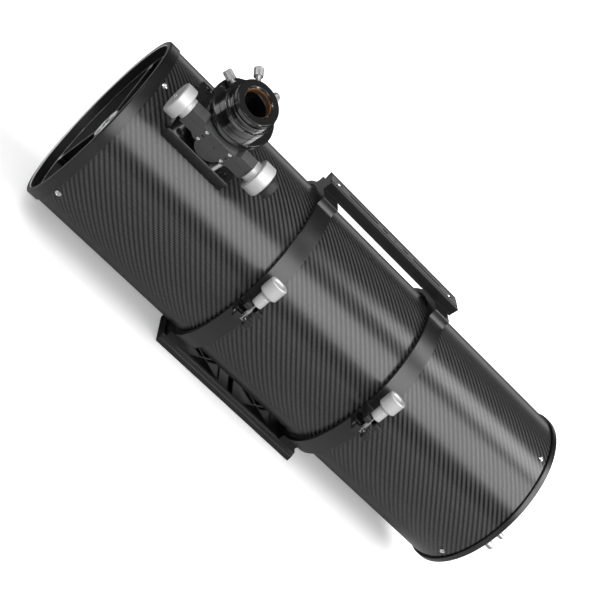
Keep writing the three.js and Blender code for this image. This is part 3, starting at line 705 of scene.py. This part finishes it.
def build_end_rings():
    sleeve, cover, seat = TUBE_BORE - GAP, TUBE_RADIUS + GAP, TUBE_START - GAP
    nose = [(0.9, FRONT_RING_BORE), (0, FRONT_RING_BORE + 0.7), (0, FRONT_RING_RADIUS - 1.4)]
    outside = [(1.4, FRONT_RING_RADIUS), (FRONT_RING_LENGTH, FRONT_RING_RADIUS), (FRONT_RING_LENGTH, cover)]
    groove = [(seat, cover), (seat, sleeve), (SLEEVE_END, sleeve), (SLEEVE_END, FRONT_RING_BORE)]
    front = nose + outside + groove
    ring = piece("front_ring", turned(front, SMOOTH, 0.5), tube @ along_x, "black_anodised", "front_end_ring")
    inward = tube.inverted()

    # The inner rim at both ends of the front ring is painted bright: a painted highlight.
    def painted_highlight_edge(place, normal):
        spot = inward @ place
        at_end = spot.x < 0.95 or spot.x > SLEEVE_END - 0.6
        return math.hypot(spot.y, spot.z) < FRONT_RING_BORE + 0.8 and at_end

    paint(ring, "painted_highlight_edge", painted_highlight_edge)
    start, sleeve_start = REAR_RING_START, 646
    inner = [(sleeve_start, SLEEVE_BORE), (sleeve_start, sleeve), (start, sleeve)]
    outside = [(start, REAR_RING_RADIUS - 0.7), (start + 0.8, REAR_RING_RADIUS), (669, REAR_RING_RADIUS)]
    back = [(LENGTH, 116.5), (LENGTH, REAR_RING_BORE), (start, REAR_RING_BORE), (start, SLEEVE_BORE)]
    rear = inner + outside + back
    piece("rear_ring", turned(rear, SMOOTH, 0.5), tube @ along_x, "black_anodised", "rear_end_ring")
    for i, angle in enumerate(QUARTERS):
        screw = cross_screw(2, 4.1, 106, 115.15, 2.6)
        spot = tube @ about_tube(angle) @ move(SPIDER_SCREW_X)
        piece(f"spider_screw_head_{i + 1}", screw, spot, "chrome_screw", f"spider_screw_{i + 1}")
        screw = cross_screw(1.6, 3.5, 112.2, 115.1, 2.2)
        spot = tube @ about_tube(angle) @ move(REAR_SCREW_X)
        piece(f"rear_screw_{i + 1}", screw, spot, "chrome_screw")


# ---- Spider and secondary mirror ----


def behind_diagonal(set_back):
    """Everything behind a 45 degree plane through the optical axis, set back by a distance."""
    space = block(-200, 0, -60, 60, -150, 150)
    turn = Matrix.Rotation(-math.pi / 4, 4, "Y")
    return placed(space, move(FOCUSER_X - set_back * math.sqrt(2)) @ turn)


def hub_bolt(head_radius, radius, end):
    """A socket screw along +Z whose head lies sunk in the spider's hub."""
    top, seat = HUB_START + 0.6, HUB_START + HEAD_SEAT - GAP
    profile = [(top, 0), (top, head_radius), (seat, head_radius), (seat, radius), (end, radius), (end, 0)]
    return cut(turned(profile, SMALL, 0.25), rod(head_radius * SOCKET_SHARE, top - 1, top + 2.4, HEXAGON))


def hub_bore(head_radius, radius):
    room = 0.4
    deep = rod(radius + room, 0, 60)
    return join(deep, rod(head_radius + room, 0, HUB_START + HEAD_SEAT, SMALL))


def build_secondary():
    hub = turned([(HUB_START, 0), (HUB_START, HUB_RADIUS - 2), (HUB_START + 2, HUB_RADIUS),
                  (HUB_END, HUB_RADIUS), (HUB_END, 0)], MEDIUM, 0.5)
    spots = [about_tube(angle) @ move(z=ADJUSTER_CIRCLE) @ along_x for angle in THIRDS]
    bores = [placed(hub_bore(TILT_HEAD_RADIUS, TILT_RADIUS), spot) for spot in spots]
    bores.append(placed(hub_bore(CENTRE_HEAD_RADIUS, CENTRE_RADIUS), along_x))
    solid = piece("hub", cut(placed(hub, along_x), *bores), tube, "black_anodised", "spider_hub", bevel=0.3)
    # The hub's front face is painted bright: a painted highlight.
    facing = tube.to_3x3() @ Vector((-1, 0, 0))
    paint(solid, "painted_highlight_edge", lambda place, normal: normal.dot(facing) > 0.98)
    piece("secondary_bolt", hub_bolt(CENTRE_HEAD_RADIUS, CENTRE_RADIUS, 60), tube @ along_x, "steel",
          "secondary_centre_bolt")
    for i, spot in enumerate(spots):
        screw = hub_bolt(TILT_HEAD_RADIUS, TILT_RADIUS, SECONDARY_HOLDER_START - GAP)
        piece(f"tilt_screw_{i + 1}", screw, tube @ spot, "steel", f"secondary_adjuster_{i + 1}")
    face = common(placed(rod(SECONDARY_RADIUS, 20, 160, MEDIUM), along_x), behind_diagonal(0))
    flat = piece("flat_mirror", cut(face, behind_diagonal(SECONDARY_THICKNESS)), tube, "ground_glass",
                 "secondary_mirror", bevel=0.3)
    facing = (tube.to_3x3() @ Vector((1, 0, 1))).normalized()
    paint(flat, "mirror_coating", lambda place, normal: normal.dot(facing) > 0.99)
    stock = placed(rod(SECONDARY_HOLDER_RADIUS, SECONDARY_HOLDER_START, 160, MEDIUM), along_x)
    holder = common(stock, behind_diagonal(SECONDARY_THICKNESS + GAP))
    holder = cut(holder, placed(rod(3.4, 40, 61), along_x))
    piece("flat_holder", holder, tube, "black_anodised", "secondary_holder", bevel=0.5)


# ---- Primary mirror and its cell ----


def build_primary():
    steps = 40
    chamfer = 0.8

    def sag(radius):
        return PRIMARY_CURVATURE - math.sqrt(PRIMARY_CURVATURE**2 - radius**2)

    face = []
    for i in range(steps + 1):
        radius = (PRIMARY_RADIUS - chamfer) * i / steps
        face.append((PRIMARY_FRONT + sag(PRIMARY_RADIUS) - sag(radius), radius))
    rim = [(PRIMARY_FRONT + chamfer, PRIMARY_RADIUS), (PRIMARY_BACK - chamfer, PRIMARY_RADIUS),
           (PRIMARY_BACK, PRIMARY_RADIUS - chamfer), (PRIMARY_BACK, 0)]
    mirror = piece("main_mirror", turned([*face, *rim], SMOOTH, 0), tube @ along_x, "ground_glass",
                   "primary_mirror")
    paint(mirror, "mirror_coating", lambda place, normal: normal.x < -0.97)
    front = PRIMARY_BACK + GAP
    section = [(front, TRAY_BORE), (front, TRAY_RADIUS), (TRAY_BACK, TRAY_RADIUS), (TRAY_BACK, TRAY_BORE)]
    tray = turned(section, SMOOTH, 0.6)
    holes = [placed(rod(3.2, 600, 650), cell_screw(third, -1) @ along_x) for third in THIRDS]
    piece("mirror_tray", cut(placed(tray, along_x), *holes), tube, "satin_black", "mirror_cell", bevel=0)


def collimation_knob():
    """A stud with a grooved neck and a knurled grip."""
    tip, grip, end, seat = 633, 667, 694, FRAME_BACK + GAP
    thread, neck, radius = 2.5, 3.6, 4.6
    stem = [(tip, 0), (tip, thread), (seat, thread), (seat, neck), (grip, neck), (grip, radius)]
    groove = [(671, radius), (671.4, radius - 0.5), (672.2, radius - 0.5), (672.6, radius)]
    top = [(end - 1, radius), (end, radius - 0.8), (end, 0)]
    return turned(stem + groove + top, MEDIUM, 0.25, (672.8, 693.2, 4.3, 0.35))


def lock_screw():
    tip, end, seat = 641.5, 691, FRAME_BACK + GAP
    thread, radius = 2.5, 3.5
    stem = [(tip, 0), (tip, thread), (seat, thread), (seat, radius)]
    top = [(end - 1, radius), (end, radius - 0.7), (end, 0)]
    return cut(turned(stem + top, SMALL, 0.25), rod(1.7, 685, 695, HEXAGON))


def build_cell_frame():
    def ring(inner, outer):
        section = [(FRAME_FRONT, inner), (FRAME_FRONT, outer), (FRAME_BACK, outer), (FRAME_BACK, inner)]
        return placed(turned(section, SMOOTH, 0), along_x)

    arms = [placed(block(FRAME_FRONT, FRAME_BACK, -9, 9, 20, 84), about_tube(a)) for a in THIRDS]
    spots = [cell_screw(third, side) @ along_x for third in THIRDS for side in (-1, 1)]
    holes = [placed(rod(2.8, 640, 680), spot) for spot in spots]
    solid = cut(join(ring(78, 108.2), ring(12, 26), *arms), *holes)
    piece("cell_spokes", solid, tube, "black_anodised", "cell_frame", bevel=0.6)
    for i, third in enumerate(THIRDS):
        knob_spot = tube @ cell_screw(third, -1) @ along_x
        lock_spot = tube @ cell_screw(third, 1) @ along_x
        piece(f"collimation_grip_{i + 1}", collimation_knob(), knob_spot, "nickel",
              f"collimation_knob_{i + 1}")
        piece(f"lock_bolt_{i + 1}", lock_screw(), lock_spot, "steel", f"lock_screw_{i + 1}")
        start, end = TRAY_BACK + SPRING_ROOM, FRAME_FRONT - 0.1
        coil_spring(f"cell_spring_{i + 1}", knob_spot, start, end, 4.6, 0.6, 5)


# ---- Focuser ----


def build_focuser_base():
    half_length, near, far, root = 44, -45, 38, 107
    saddle = block(-half_length, half_length, near, far, root, BASE_TOP)
    tower = rod(TOWER_RADIUS, BASE_TOP - 4, TOWER_TOP, MEDIUM)
    shell = placed(rod(TUBE_RADIUS + GAP, -60, 60, SMOOTH), along_x)
    bore = rod(32.8, 90, 180, MEDIUM)
    seat = block(-60, 60, -60, -30.4, 138.7, 180)
    spots = [move(x, y) for x, y in [(-32.3, -38.4), (34.5, -39.6), (-33.5, 32), (33.5, 32)]]
    sinks = [placed(rod(3.9, BASE_TOP - 2.6, BASE_TOP + 5), spot) for spot in spots]
    solid = cut(join(saddle, tower), shell, bore, seat, *sinks)
    piece("focuser_saddle", solid, focuser, "gloss_black", "focuser_base", bevel=0.5)
    for i, spot in enumerate(spots):
        screw = socket_screw(2, 3.5, BASE_TOP - 6, BASE_TOP - 2.5, 2.9)
        piece(f"saddle_screw_{i + 1}", screw, focuser @ spot, "black_anodised")


def housing_outline():
    arm, inner, plate = 44.5, 26.5, 22
    top, plate_top, arm_base, plate_base = 171, 164.8, 143.6, 139.4
    centre, radius = 141.3, 16.5
    dip = math.degrees(math.asin((centre - plate_base) / radius))
    boss = arc((0, centre), radius, 180 + dip, 360 - dip, 32)
    left = [(-plate, plate_top), (-inner, top), (-arm, top)]
    left += [(-arm, arm_base), (-inner, arm_base), (1 - plate, plate_base)]
    right = [(-x, z) for x, z in reversed(left)]
    return left + boss + right


def build_shaft_housing():
    body = prism_along_y(housing_outline(), HOUSING_FACE_Y, -30.7)
    room = [rod(TOWER_RADIUS + GAP, 100, 139, MEDIUM), rod(32.9, 100, 200, MEDIUM),
            placed(rod(3.2, -60, 60), move(0, SHAFT_Y, SHAFT_Z) @ along_x)]
    crease_x, half, crease_y = 35.6, 9.2, HOUSING_FACE_Y + 0.35
    crease = [block(side * crease_x - half, side * crease_x + half, -50, crease_y, 158.4, 159.1)
              for side in (-1, 1)]
    face_on = Matrix.Rotation(math.pi / 2, 4, "X")
    screws = [(x, z) for x in (-16.1, 17.9) for z in (143.1, 159.8)]
    seats = [placed(rod(2.9, 0, 12), move(x, HOUSING_FACE_Y + 1.4, z) @ face_on) for x, z in screws]
    dimples = [placed(rod(1.6, 0, 12), move(x, HOUSING_FACE_Y + 3, z) @ face_on)
               for x, z in [(-15.8, 151.5), (18.3, 151.5)]]
    dimples.append(placed(rod(1.0, 0, 12), move(1.3, HOUSING_FACE_Y + 2, 150.5) @ face_on))
    solid = cut(body, *room, *crease, *seats, *dimples)
    piece("shaft_block", solid, focuser, "grey_anodised", "focuser_shaft_housing", bevel=0.35)
    for i, (x, z) in enumerate(screws):
        screw = cross_screw(1.2, 2.6, -4, 0, 1.2)
        spot = focuser @ move(x, HOUSING_FACE_Y + 1.35, z) @ face_on
        piece(f"housing_screw_{i + 1}", screw, spot, "chrome_screw")


def build_drawtube():
    foot, end = 104, FLANGE_BASE - GAP
    section = [(foot, DRAWTUBE_BORE), (foot, DRAWTUBE_RADIUS), (end, DRAWTUBE_RADIUS), (end, DRAWTUBE_BORE)]
    flat = block(-30, 30, -50, -31.8, 90, 200)
    pipe = cut(turned(section, MEDIUM, 0.3), flat)
    piece("drawtube_pipe", pipe, focuser, "satin_black", "drawtube", bevel=0)
    below = [(FLANGE_BASE, DRAWTUBE_BORE), (FLANGE_BASE, FLANGE_RADIUS - 1)]
    side = [(FLANGE_BASE + 1, FLANGE_RADIUS), (FLANGE_TOP - 1.2, FLANGE_RADIUS)]
    above = [(FLANGE_TOP, FLANGE_RADIUS - 1.2), (FLANGE_TOP, DRAWTUBE_BORE)]
    piece("drawtube_collar", turned(below + side + above, SMOOTH, 0.3), focuser, "gloss_black",
          "drawtube_flange")
    base, radius, depth = FLANGE_TOP + GAP, COLLAR_RADIUS, 0.4
    groove = [(COLLAR_TOP - 4.4, radius), (COLLAR_TOP - 4.1, radius - depth)]
    groove += [(COLLAR_TOP - 3.5, radius - depth), (COLLAR_TOP - 3.2, radius)]
    rim = [(COLLAR_TOP - 1.1, radius), (COLLAR_TOP, radius - 1.1), (COLLAR_TOP, COLLAR_BORE)]
    collar = turned([(base, COLLAR_BORE), (base, radius), *groove, *rim], SMOOTH, 0.25)
    spots = [radial(angle, COLLAR_SCREW_Z) for angle in COLLAR_SCREW_ANGLES]
    holes = [placed(rod(THUMB_SCREW_HOLE, 20, 40), spot) for spot in spots]
    piece("visual_back", cut(collar, *holes), focuser, "gloss_black", "eyepiece_collar",
          bevel=0)


def build_adapter():
    foot, seat, barrel = 162, COLLAR_TOP + GAP, COLLAR_BORE - GAP
    waist_base, waist_top, waist = 195, 196.6, 25
    lip, lip_base, ring_seat, step = 17, ADAPTER_TOP - 2.1, 17.7, 193.4
    shoulder = [(foot, EYEPIECE_BORE), (foot, barrel), (seat, barrel), (seat, SHOULDER_RADIUS)]
    middle = [(waist_base, SHOULDER_RADIUS), (waist_base, waist)]
    middle += [(waist_top, waist), (waist_top, ADAPTER_RADIUS)]
    top = [(ADAPTER_TOP - 1.1, ADAPTER_RADIUS), (ADAPTER_TOP, ADAPTER_RADIUS - 1.1), (ADAPTER_TOP, lip + 1.4)]
    inside = [(ADAPTER_TOP - 1.4, lip), (lip_base, lip), (lip_base, ring_seat), (step, ring_seat)]
    mouth = [(step, EYEPIECE_BORE + 0.6), (step - 1, EYEPIECE_BORE)]
    body = turned(shoulder + middle + top + inside + mouth, SMOOTH, 0.25)
    hole = placed(rod(THUMB_SCREW_HOLE, 17.4, 40), radial(ADAPTER_SCREW_ANGLE, ADAPTER_SCREW_Z))
    piece("eyepiece_holder", cut(body, hole), focuser, "gloss_black", "eyepiece_adapter",
          bevel=0)
    ring = [(193.7, 16.1), (193.7, 17.3), (200.1, 17.3), (200.1, 16.1)]
    piece("clamping_ring", turned(ring, MEDIUM, 0.2), focuser, "brass_ring", "compression_ring")


def thumb_screw(tip, neck):
    """A knurled thumb screw with a grooved neck."""
    thread, narrow, radius = 2, 3.2, 5.4
    grip, end = neck + 4, neck + 15
    stem = [(tip, 0), (tip, thread), (neck, thread), (neck, narrow)]
    groove = [(neck + 1.4, narrow), (neck + 1.7, narrow - 0.5)]
    groove += [(neck + 2.3, narrow - 0.5), (neck + 2.6, narrow)]
    head = [(grip, narrow), (grip, radius), (end - 1, radius), (end, radius - 0.8), (end, 0)]
    return turned(stem + groove + head, MEDIUM, 0.2, (grip + 0.2, end - 0.9, 4.9, 0.4))


def build_thumb_screws():
    for i, angle in enumerate(COLLAR_SCREW_ANGLES):
        spot = focuser @ radial(angle, COLLAR_SCREW_Z)
        piece(f"collar_grip_{i + 1}", thumb_screw(26, 31.9), spot, "nickel",
              f"collar_thumbscrew_{i + 1}")
    piece("adapter_grip", thumb_screw(17.8, 29.5), focuser @ radial(ADAPTER_SCREW_ANGLE, ADAPTER_SCREW_Z),
          "nickel", "adapter_thumbscrew")


def coarse_knob(outer, inner, hub_end, hub_bore):
    """A wheel with a hub on its inner side; the bore widens to hub_bore towards its outer face."""
    chamfer = 1.2
    turn = math.copysign(chamfer, inner - outer)
    middle = (outer + inner) / 2
    bore = SHAFT_RADIUS + GAP
    face = [(outer, hub_bore), (outer, COARSE_RADIUS - chamfer), (outer + turn, COARSE_RADIUS)]
    rim = [(inner - turn * 0.6, COARSE_RADIUS), (inner, COARSE_RADIUS - 0.7), (inner, COARSE_HUB_RADIUS)]
    hub = [(hub_end, COARSE_HUB_RADIUS), (hub_end, bore), (middle, bore), (middle, hub_bore)]
    return turned(face + rim + hub, SMOOTH, 0.25)


def fine_knob():
    """A spigot with a grooved, knurled grip, a set screw's hole and a shallow dish."""
    start, grip, end, spigot, radius = 151.5, 158.9, 170.6, 6.2, FINE_RADIUS
    stem = [(start, 0), (start, spigot), (grip, spigot), (grip, radius)]
    groove = [(161.2, radius), (161.5, radius - 0.45), (162.1, radius - 0.45), (162.4, radius)]
    cap = [(end - 0.8, radius), (end, radius - 0.8), (end, 0)]
    solid = turned(stem + groove + cap, 144, 0.2, (162.5, 169.9, 11.5, 0.35))
    sideways = Matrix.Rotation(-math.pi / 2, 4, "Z") @ along_x
    set_screw = placed(rod(1.3, 9, 14, 24), move(z=160.1) @ sideways)
    return cut(solid, set_screw, rod(4.4, end - 0.5, end + 1.4, SMALL))


def build_focus_drive():
    shaft = focuser @ move(-FOCUSER_X, SHAFT_Y, SHAFT_Z) @ along_x
    piece("drive_shaft", rod(SHAFT_RADIUS, 34.5, 150, SMALL, 0.3), shaft, "steel", "focus_shaft")
    front = coarse_knob(26.5, 40.3, 46.7, SHAFT_RADIUS + GAP)
    rear = coarse_knob(158.6, 143, 136.3, 6.6)
    piece("coarse_wheel_front", front, shaft, "silver_anodised", "coarse_knob_front")
    piece("coarse_wheel_rear", rear, shaft, "silver_anodised", "coarse_knob_rear")
    piece("fine_wheel", fine_knob(), shaft, "satin_black", "fine_focus_knob")
    outward = shaft @ move(z=26.4) @ Matrix.Rotation(math.pi, 4, "X")
    piece("shaft_cap", cross_screw(1.2, 3.4, -3, 0, 1.4), outward, "chrome_screw", body="focus_shaft")


# ---- Tube rings ----


def across(radius, start, end, segments=MEDIUM):
    return placed(rod(radius, start, end, segments), along_x)


def hinge_rod(radius, start, end):
    return placed(across(radius, start, end, SMALL), move(y=HINGE_Y))


def bolt_slot():
    end = BOLT_Y + LUG_SLOT_HALF + 0.6
    return block(-LUG_SLOT_HALF, LUG_SLOT_HALF, -160, end, -60, 60)


def upper_lug():
    """Its outer end is rounded about the cross pin, so that the knob can swing off it."""
    inner = block(-RING_HALF_WIDTH, RING_HALF_WIDTH, BOLT_Y, LUG_ROOT_Y, UPPER_LUG_BASE, LUG_TOP)
    outer = block(-RING_HALF_WIDTH, RING_HALF_WIDTH, LUG_REACH, BOLT_Y + 1, UPPER_LUG_BASE, LUG_TOP)
    roll = across(LUG_TOP - CROSS_PIN_Z, -RING_HALF_WIDTH, RING_HALF_WIDTH)
    sweep = placed(roll, move(0, BOLT_Y, CROSS_PIN_Z))
    return cut(join(inner, common(outer, sweep)), bolt_slot())


def lower_lug():
    """It carries the cross pin in an open-topped seat."""
    lug = block(-RING_HALF_WIDTH, RING_HALF_WIDTH, LUG_REACH, LUG_ROOT_Y, LOWER_LUG_BASE, LOWER_LUG_TOP)
    room = CROSS_PIN_RADIUS + GAP
    seat = placed(across(room, -20, 20, SMALL), move(0, BOLT_Y, CROSS_PIN_Z))
    mouth = block(-20, 20, BOLT_Y - room, BOLT_Y + room, CROSS_PIN_Z, 0)
    return cut(lug, bolt_slot(), seat, mouth)


def ring_half(side):
    """A half of the band with its foot, hinge knuckles and lug; side is 1 above and -1 below."""
    half = RING_HALF_WIDTH
    band = across(RING_OUTER, -half, half, SMOOTH)
    wide, neck = FOOT_HALF_WIDTH + 5, FOOT_HALF_WIDTH
    right = [(wide, 100), (wide, 116.8), (neck + 2.6, 121.2), (neck + 2.6, 126.8), (neck + 1.2, FOOT_HEIGHT)]
    shape = right + [(-y, z) for y, z in reversed(right)]
    foot = prism_along_x([(y, side * z) for y, z in shape], -half, half)
    low, high = (SPLIT_HALF_GAP, KNUCKLE_RADIUS) if side > 0 else (-KNUCKLE_RADIUS, -SPLIT_HALF_GAP)
    web = block(-half, half, 115, HINGE_Y, low, high)
    low, high = (SPLIT_HALF_GAP, 150) if side > 0 else (-150, -SPLIT_HALF_GAP)
    space = block(-50, 50, -160, 160, low, high)
    shell = common(join(band, foot, upper_lug() if side > 0 else lower_lug(), web), space)
    shell = cut(shell, across(RING_INNER, -60, 60, SMOOTH))
    third = half / 3
    middle = [(-third + 0.2, third - 0.2)]
    outer = [(-half, -third - 0.2), (third + 0.2, half)]
    own, other = (middle, outer) if side > 0 else (outer, middle)
    shell = cut(shell, *[hinge_rod(KNUCKLE_RADIUS + 0.5, a - 0.4, b + 0.4) for a, b in other])
    shell = join(shell, *[hinge_rod(KNUCKLE_RADIUS, a, b) for a, b in own])
    return cut(shell, hinge_rod(HINGE_PIN_RADIUS + 0.1, -20, 20))


def liner(side):
    half, inner, outer, end_height = 10, 115.6, 117, 4
    ring = placed(turned([(-half, inner), (-half, outer), (half, outer), (half, inner)], SMOOTH, 0), along_x)
    low, high = (end_height, 150) if side > 0 else (-150, -end_height)
    return common(ring, block(-50, 50, -150, 150, low, high))


def swing_bolt():
    pin = placed(rod(CROSS_PIN_RADIUS, -CROSS_PIN_HALF_LENGTH, CROSS_PIN_HALF_LENGTH, SMALL, 0.4), along_x)
    top = KNOB_HEAD_BASE + 5 - CROSS_PIN_Z
    thread = threaded(6.5, top - 1, BOLT_RADIUS, 1)
    stem = turned([(0, 0), (0, BOLT_RADIUS), (6, BOLT_RADIUS), *thread, (top, 2.3), (top, 0)], SMALL, 0)
    return join(pin, stem)


def clamp_knob():
    """A plain stepped knob: chamfered head with a dished top, thin groove under the head, blind bore."""
    bore = BOLT_RADIUS + GAP
    base = LUG_TOP + GAP
    ceiling = KNOB_HEAD_BASE + 6
    neck, head = KNOB_NECK_RADIUS, KNOB_HEAD_RADIUS
    inside = [(ceiling, 0), (ceiling, bore), (base, bore), (base, neck - 0.5), (base + 0.6, neck)]
    groove = [(27.4, neck), (27.7, neck - 0.4), (28.6, neck - 0.4), (28.9, neck)]
    flare = [(30.4, neck), (30.6, 8.6), (KNOB_HEAD_BASE, head)]
    rim = [(KNOB_TOP - 1, head), (KNOB_TOP, head - 1), (KNOB_TOP, head - 3.5)]
    dish = [(KNOB_TOP - 2, head - 4.5), (KNOB_TOP - 2, 0)]
    return turned(inside + groove + flare + rim + dish, SMOOTH, 0.3)


def build_rings():
    for place, end in (("front", -1), ("rear", 1)):
        ring = cradle @ move(RING_MIDDLE_X + end * RING_OFFSET)
        pivot = ring @ move(0, BOLT_Y, CROSS_PIN_Z)
        piece(f"band_lower_{place}", ring_half(-1), ring, "black_anodised", f"ring_lower_{place}", bevel=0.45)
        piece(f"band_upper_{place}", ring_half(1), ring, "black_anodised", f"ring_upper_{place}", bevel=0.45)
        piece(f"liner_lower_{place}", liner(-1), ring, "felt", f"felt_lower_{place}", bevel=0)
        piece(f"liner_upper_{place}", liner(1), ring, "felt", f"felt_upper_{place}", bevel=0)
        pin = rod(HINGE_PIN_RADIUS, -11.2, 11.2, SMALL, 0.4)
        piece(f"pivot_{place}", pin, ring @ move(y=HINGE_Y) @ along_x, "steel", f"hinge_pin_{place}")
        piece(f"swing_bolt_{place}", swing_bolt(), pivot, "steel", f"clamp_bolt_{place}", bevel=0)
        knob = clamp_knob()
        piece(f"clamp_grip_{place}", knob, ring @ move(y=BOLT_Y), "silver_anodised", f"clamp_knob_{place}")


# ---- Accessory bar and dovetail plate ----


def build_bar():
    undercut, near, far, floor = 14.5, 10.9, 14.3, BAR_TOP - 2.4
    edge = [(undercut, BAR_BASE), (undercut, BAR_BASE + 3), (BAR_HALF_WIDTH, BAR_TOP - 2)]
    groove = [(far, BAR_TOP), (far, floor), (near, floor), (near, BAR_TOP)]
    half = [*edge, (BAR_HALF_WIDTH, BAR_TOP), *groove]
    outline = half + [(-y, z) for y, z in reversed(half)]
    body = prism_along_x(outline, -BAR_LENGTH / 2, BAR_LENGTH / 2)
    slots = [(-54.8, 49), (54.8, 49), (-17.8, 9.4), (17.8, 9.4)]
    width = 5
    cutters = [prism(slot_outline(x, length, width), BAR_BASE - 5, BAR_TOP + 5) for x, length in slots]
    cutters.append(rod(1.8, 120, 150))
    cutters += [placed(rod(5, BAR_TOP - 4, BAR_TOP + 5), move(end * RING_OFFSET)) for end in (-1, 1)]
    place = cradle @ move(RING_MIDDLE_X)
    piece("slotted_bar", cut(body, *cutters), place, "black_anodised", "accessory_bar", bevel=0.35)
    for i, end in enumerate((-1, 1)):
        screw = socket_screw(2.5, 4.3, BAR_BASE, BAR_TOP - 3.9, 3.4)
        piece(f"bar_screw_{i + 1}", screw, place @ move(end * RING_OFFSET), "chrome_screw", body="ring_tops")


# ---- Stage ----

CAMERA_PLACE = (-0.5438, -1.5826, 0.6491)
CAMERA_TURN = (65.445, -46.650, 0.450)
CAMERA_LENS = 87.53
CAMERA_SHIFT = (0.004, -0.0112)
AIM = Vector((-0.01, 0, 0.13))
FLOOR_BOUNCE = 0.4
FLOOR_GLOW = 1.0
FLOOR_GLOW_NEAR = 0.35
SKY_LIGHT = 0.12
SKY_SEEN = 1.05


def build_floor():
    """A pale floor that sweeps up behind the object."""
    work = bmesh.new()
    reach, start, rise = 14.0, 5.0, 3.0
    profile = [(-reach, 0.0), (start, 0.0)]
    steps = 24
    angles = [math.pi / 2 * i / steps for i in range(1, steps + 1)]
    profile += [(start + rise * math.sin(a), rise * (1 - math.cos(a))) for a in angles]
    profile.append((start + rise, reach))
    rows = [[work.verts.new((x, y, z)) for x in (-reach, reach)] for y, z in profile]
    for a, b in zip(rows, rows[1:]):
        work.faces.new([a[0], a[1], b[1], b[0]])
    mesh = mesh_from(work)
    mesh.shade_smooth()
    floor = bpy.data.objects.new("floor", mesh)
    floor.location.z = -0.0005
    bpy.context.scene.collection.objects.link(floor)
    shader = Shader("floor_paint")
    dust = shader.noise(3, 4.0)
    seen = shader.add("ShaderNodeLightPath").outputs["Is Camera Ray"]
    pale = mix_colours(shader, dust, grey(0.90), grey(0.93))
    shader.set(Base_Color=mix_colours(shader, seen, grey(FLOOR_BOUNCE), pale), Roughness=0.8)
    away = shader.add("ShaderNodeVectorMath", {0: shader.place}, operation="LENGTH").outputs["Value"]
    reaches = {"From Min": 0.45, "From Max": 1.3, "To Min": FLOOR_GLOW_NEAR, "To Max": FLOOR_GLOW}
    fade = shader.add("ShaderNodeMapRange", {"Value": away, **reaches}).outputs[0]
    shader.set(Emission_Color=grey(1.0), Emission_Strength=shader.math("MULTIPLY", seen, fade))
    mesh.materials.append(shader.material)


def area_light(name, azimuth, elevation, distance, size, power):
    """A softbox seen from the object at an azimuth (0 is -Y, 90 is +X) and an elevation."""
    a, e = math.radians(azimuth), math.radians(elevation)
    way = Vector((math.sin(a) * math.cos(e), -math.cos(a) * math.cos(e), math.sin(e)))
    data = bpy.data.lights.new(name, "AREA")
    data.shape = "RECTANGLE"
    data.size, data.size_y = size
    data.energy = power
    light = bpy.data.objects.new(name, data)
    light.location = AIM + way * distance
    light.rotation_mode = "QUATERNION"
    light.rotation_quaternion = way.to_track_quat("Z", "Y")
    bpy.context.scene.collection.objects.link(light)


def build_light():
    world = bpy.data.worlds.new("studio")
    world.use_nodes = True
    nodes = world.node_tree.nodes
    seen = nodes.new("ShaderNodeLightPath").outputs["Is Camera Ray"]
    strength = nodes.new("ShaderNodeMix")
    strength.inputs[2].default_value = SKY_LIGHT
    strength.inputs[3].default_value = SKY_SEEN
    world.node_tree.links.new(seen, strength.inputs[0])
    world.node_tree.links.new(strength.outputs[0], nodes["Background"].inputs["Strength"])
    nodes["Background"].inputs["Color"].default_value = (1, 1, 1, 1)
    bpy.context.scene.world = world
    area_light("key", 24, 34, 2.4, (3.4, 1.4), 80)
    area_light("strip_left", -58, 48, 2.4, (0.7, 1.9), 34)
    area_light("strip_right", 74, 48, 2.4, (0.7, 1.9), 34)
    area_light("back_low", 161, 18, 3.0, (2.2, 0.7), 4)
    bpy.context.scene.view_settings.view_transform = "Standard"
    bpy.context.scene.view_settings.look = "None"


def build_camera():
    data = bpy.data.cameras.new("camera")
    data.lens = CAMERA_LENS
    data.shift_x, data.shift_y = CAMERA_SHIFT
    camera = bpy.data.objects.new("camera", data)
    camera.location = CAMERA_PLACE
    camera.rotation_euler = [math.radians(a) for a in CAMERA_TURN]
    bpy.context.scene.collection.objects.link(camera)
    bpy.context.scene.camera = camera


build_tube()
build_end_rings()
build_vanes()
build_secondary()
build_primary()
build_cell_frame()
build_focuser_base()
build_shaft_housing()
build_drawtube()
build_adapter()
build_thumb_screws()
build_focus_drive()
build_rings()
build_bar()
for number in range(1, 4):
    keep_node(f"mirror_clip_{number}", "satin_black", 0.4)
keep_node("dovetail_plate", "plate_black", 0.5)
build_floor()
build_light()
build_camera()
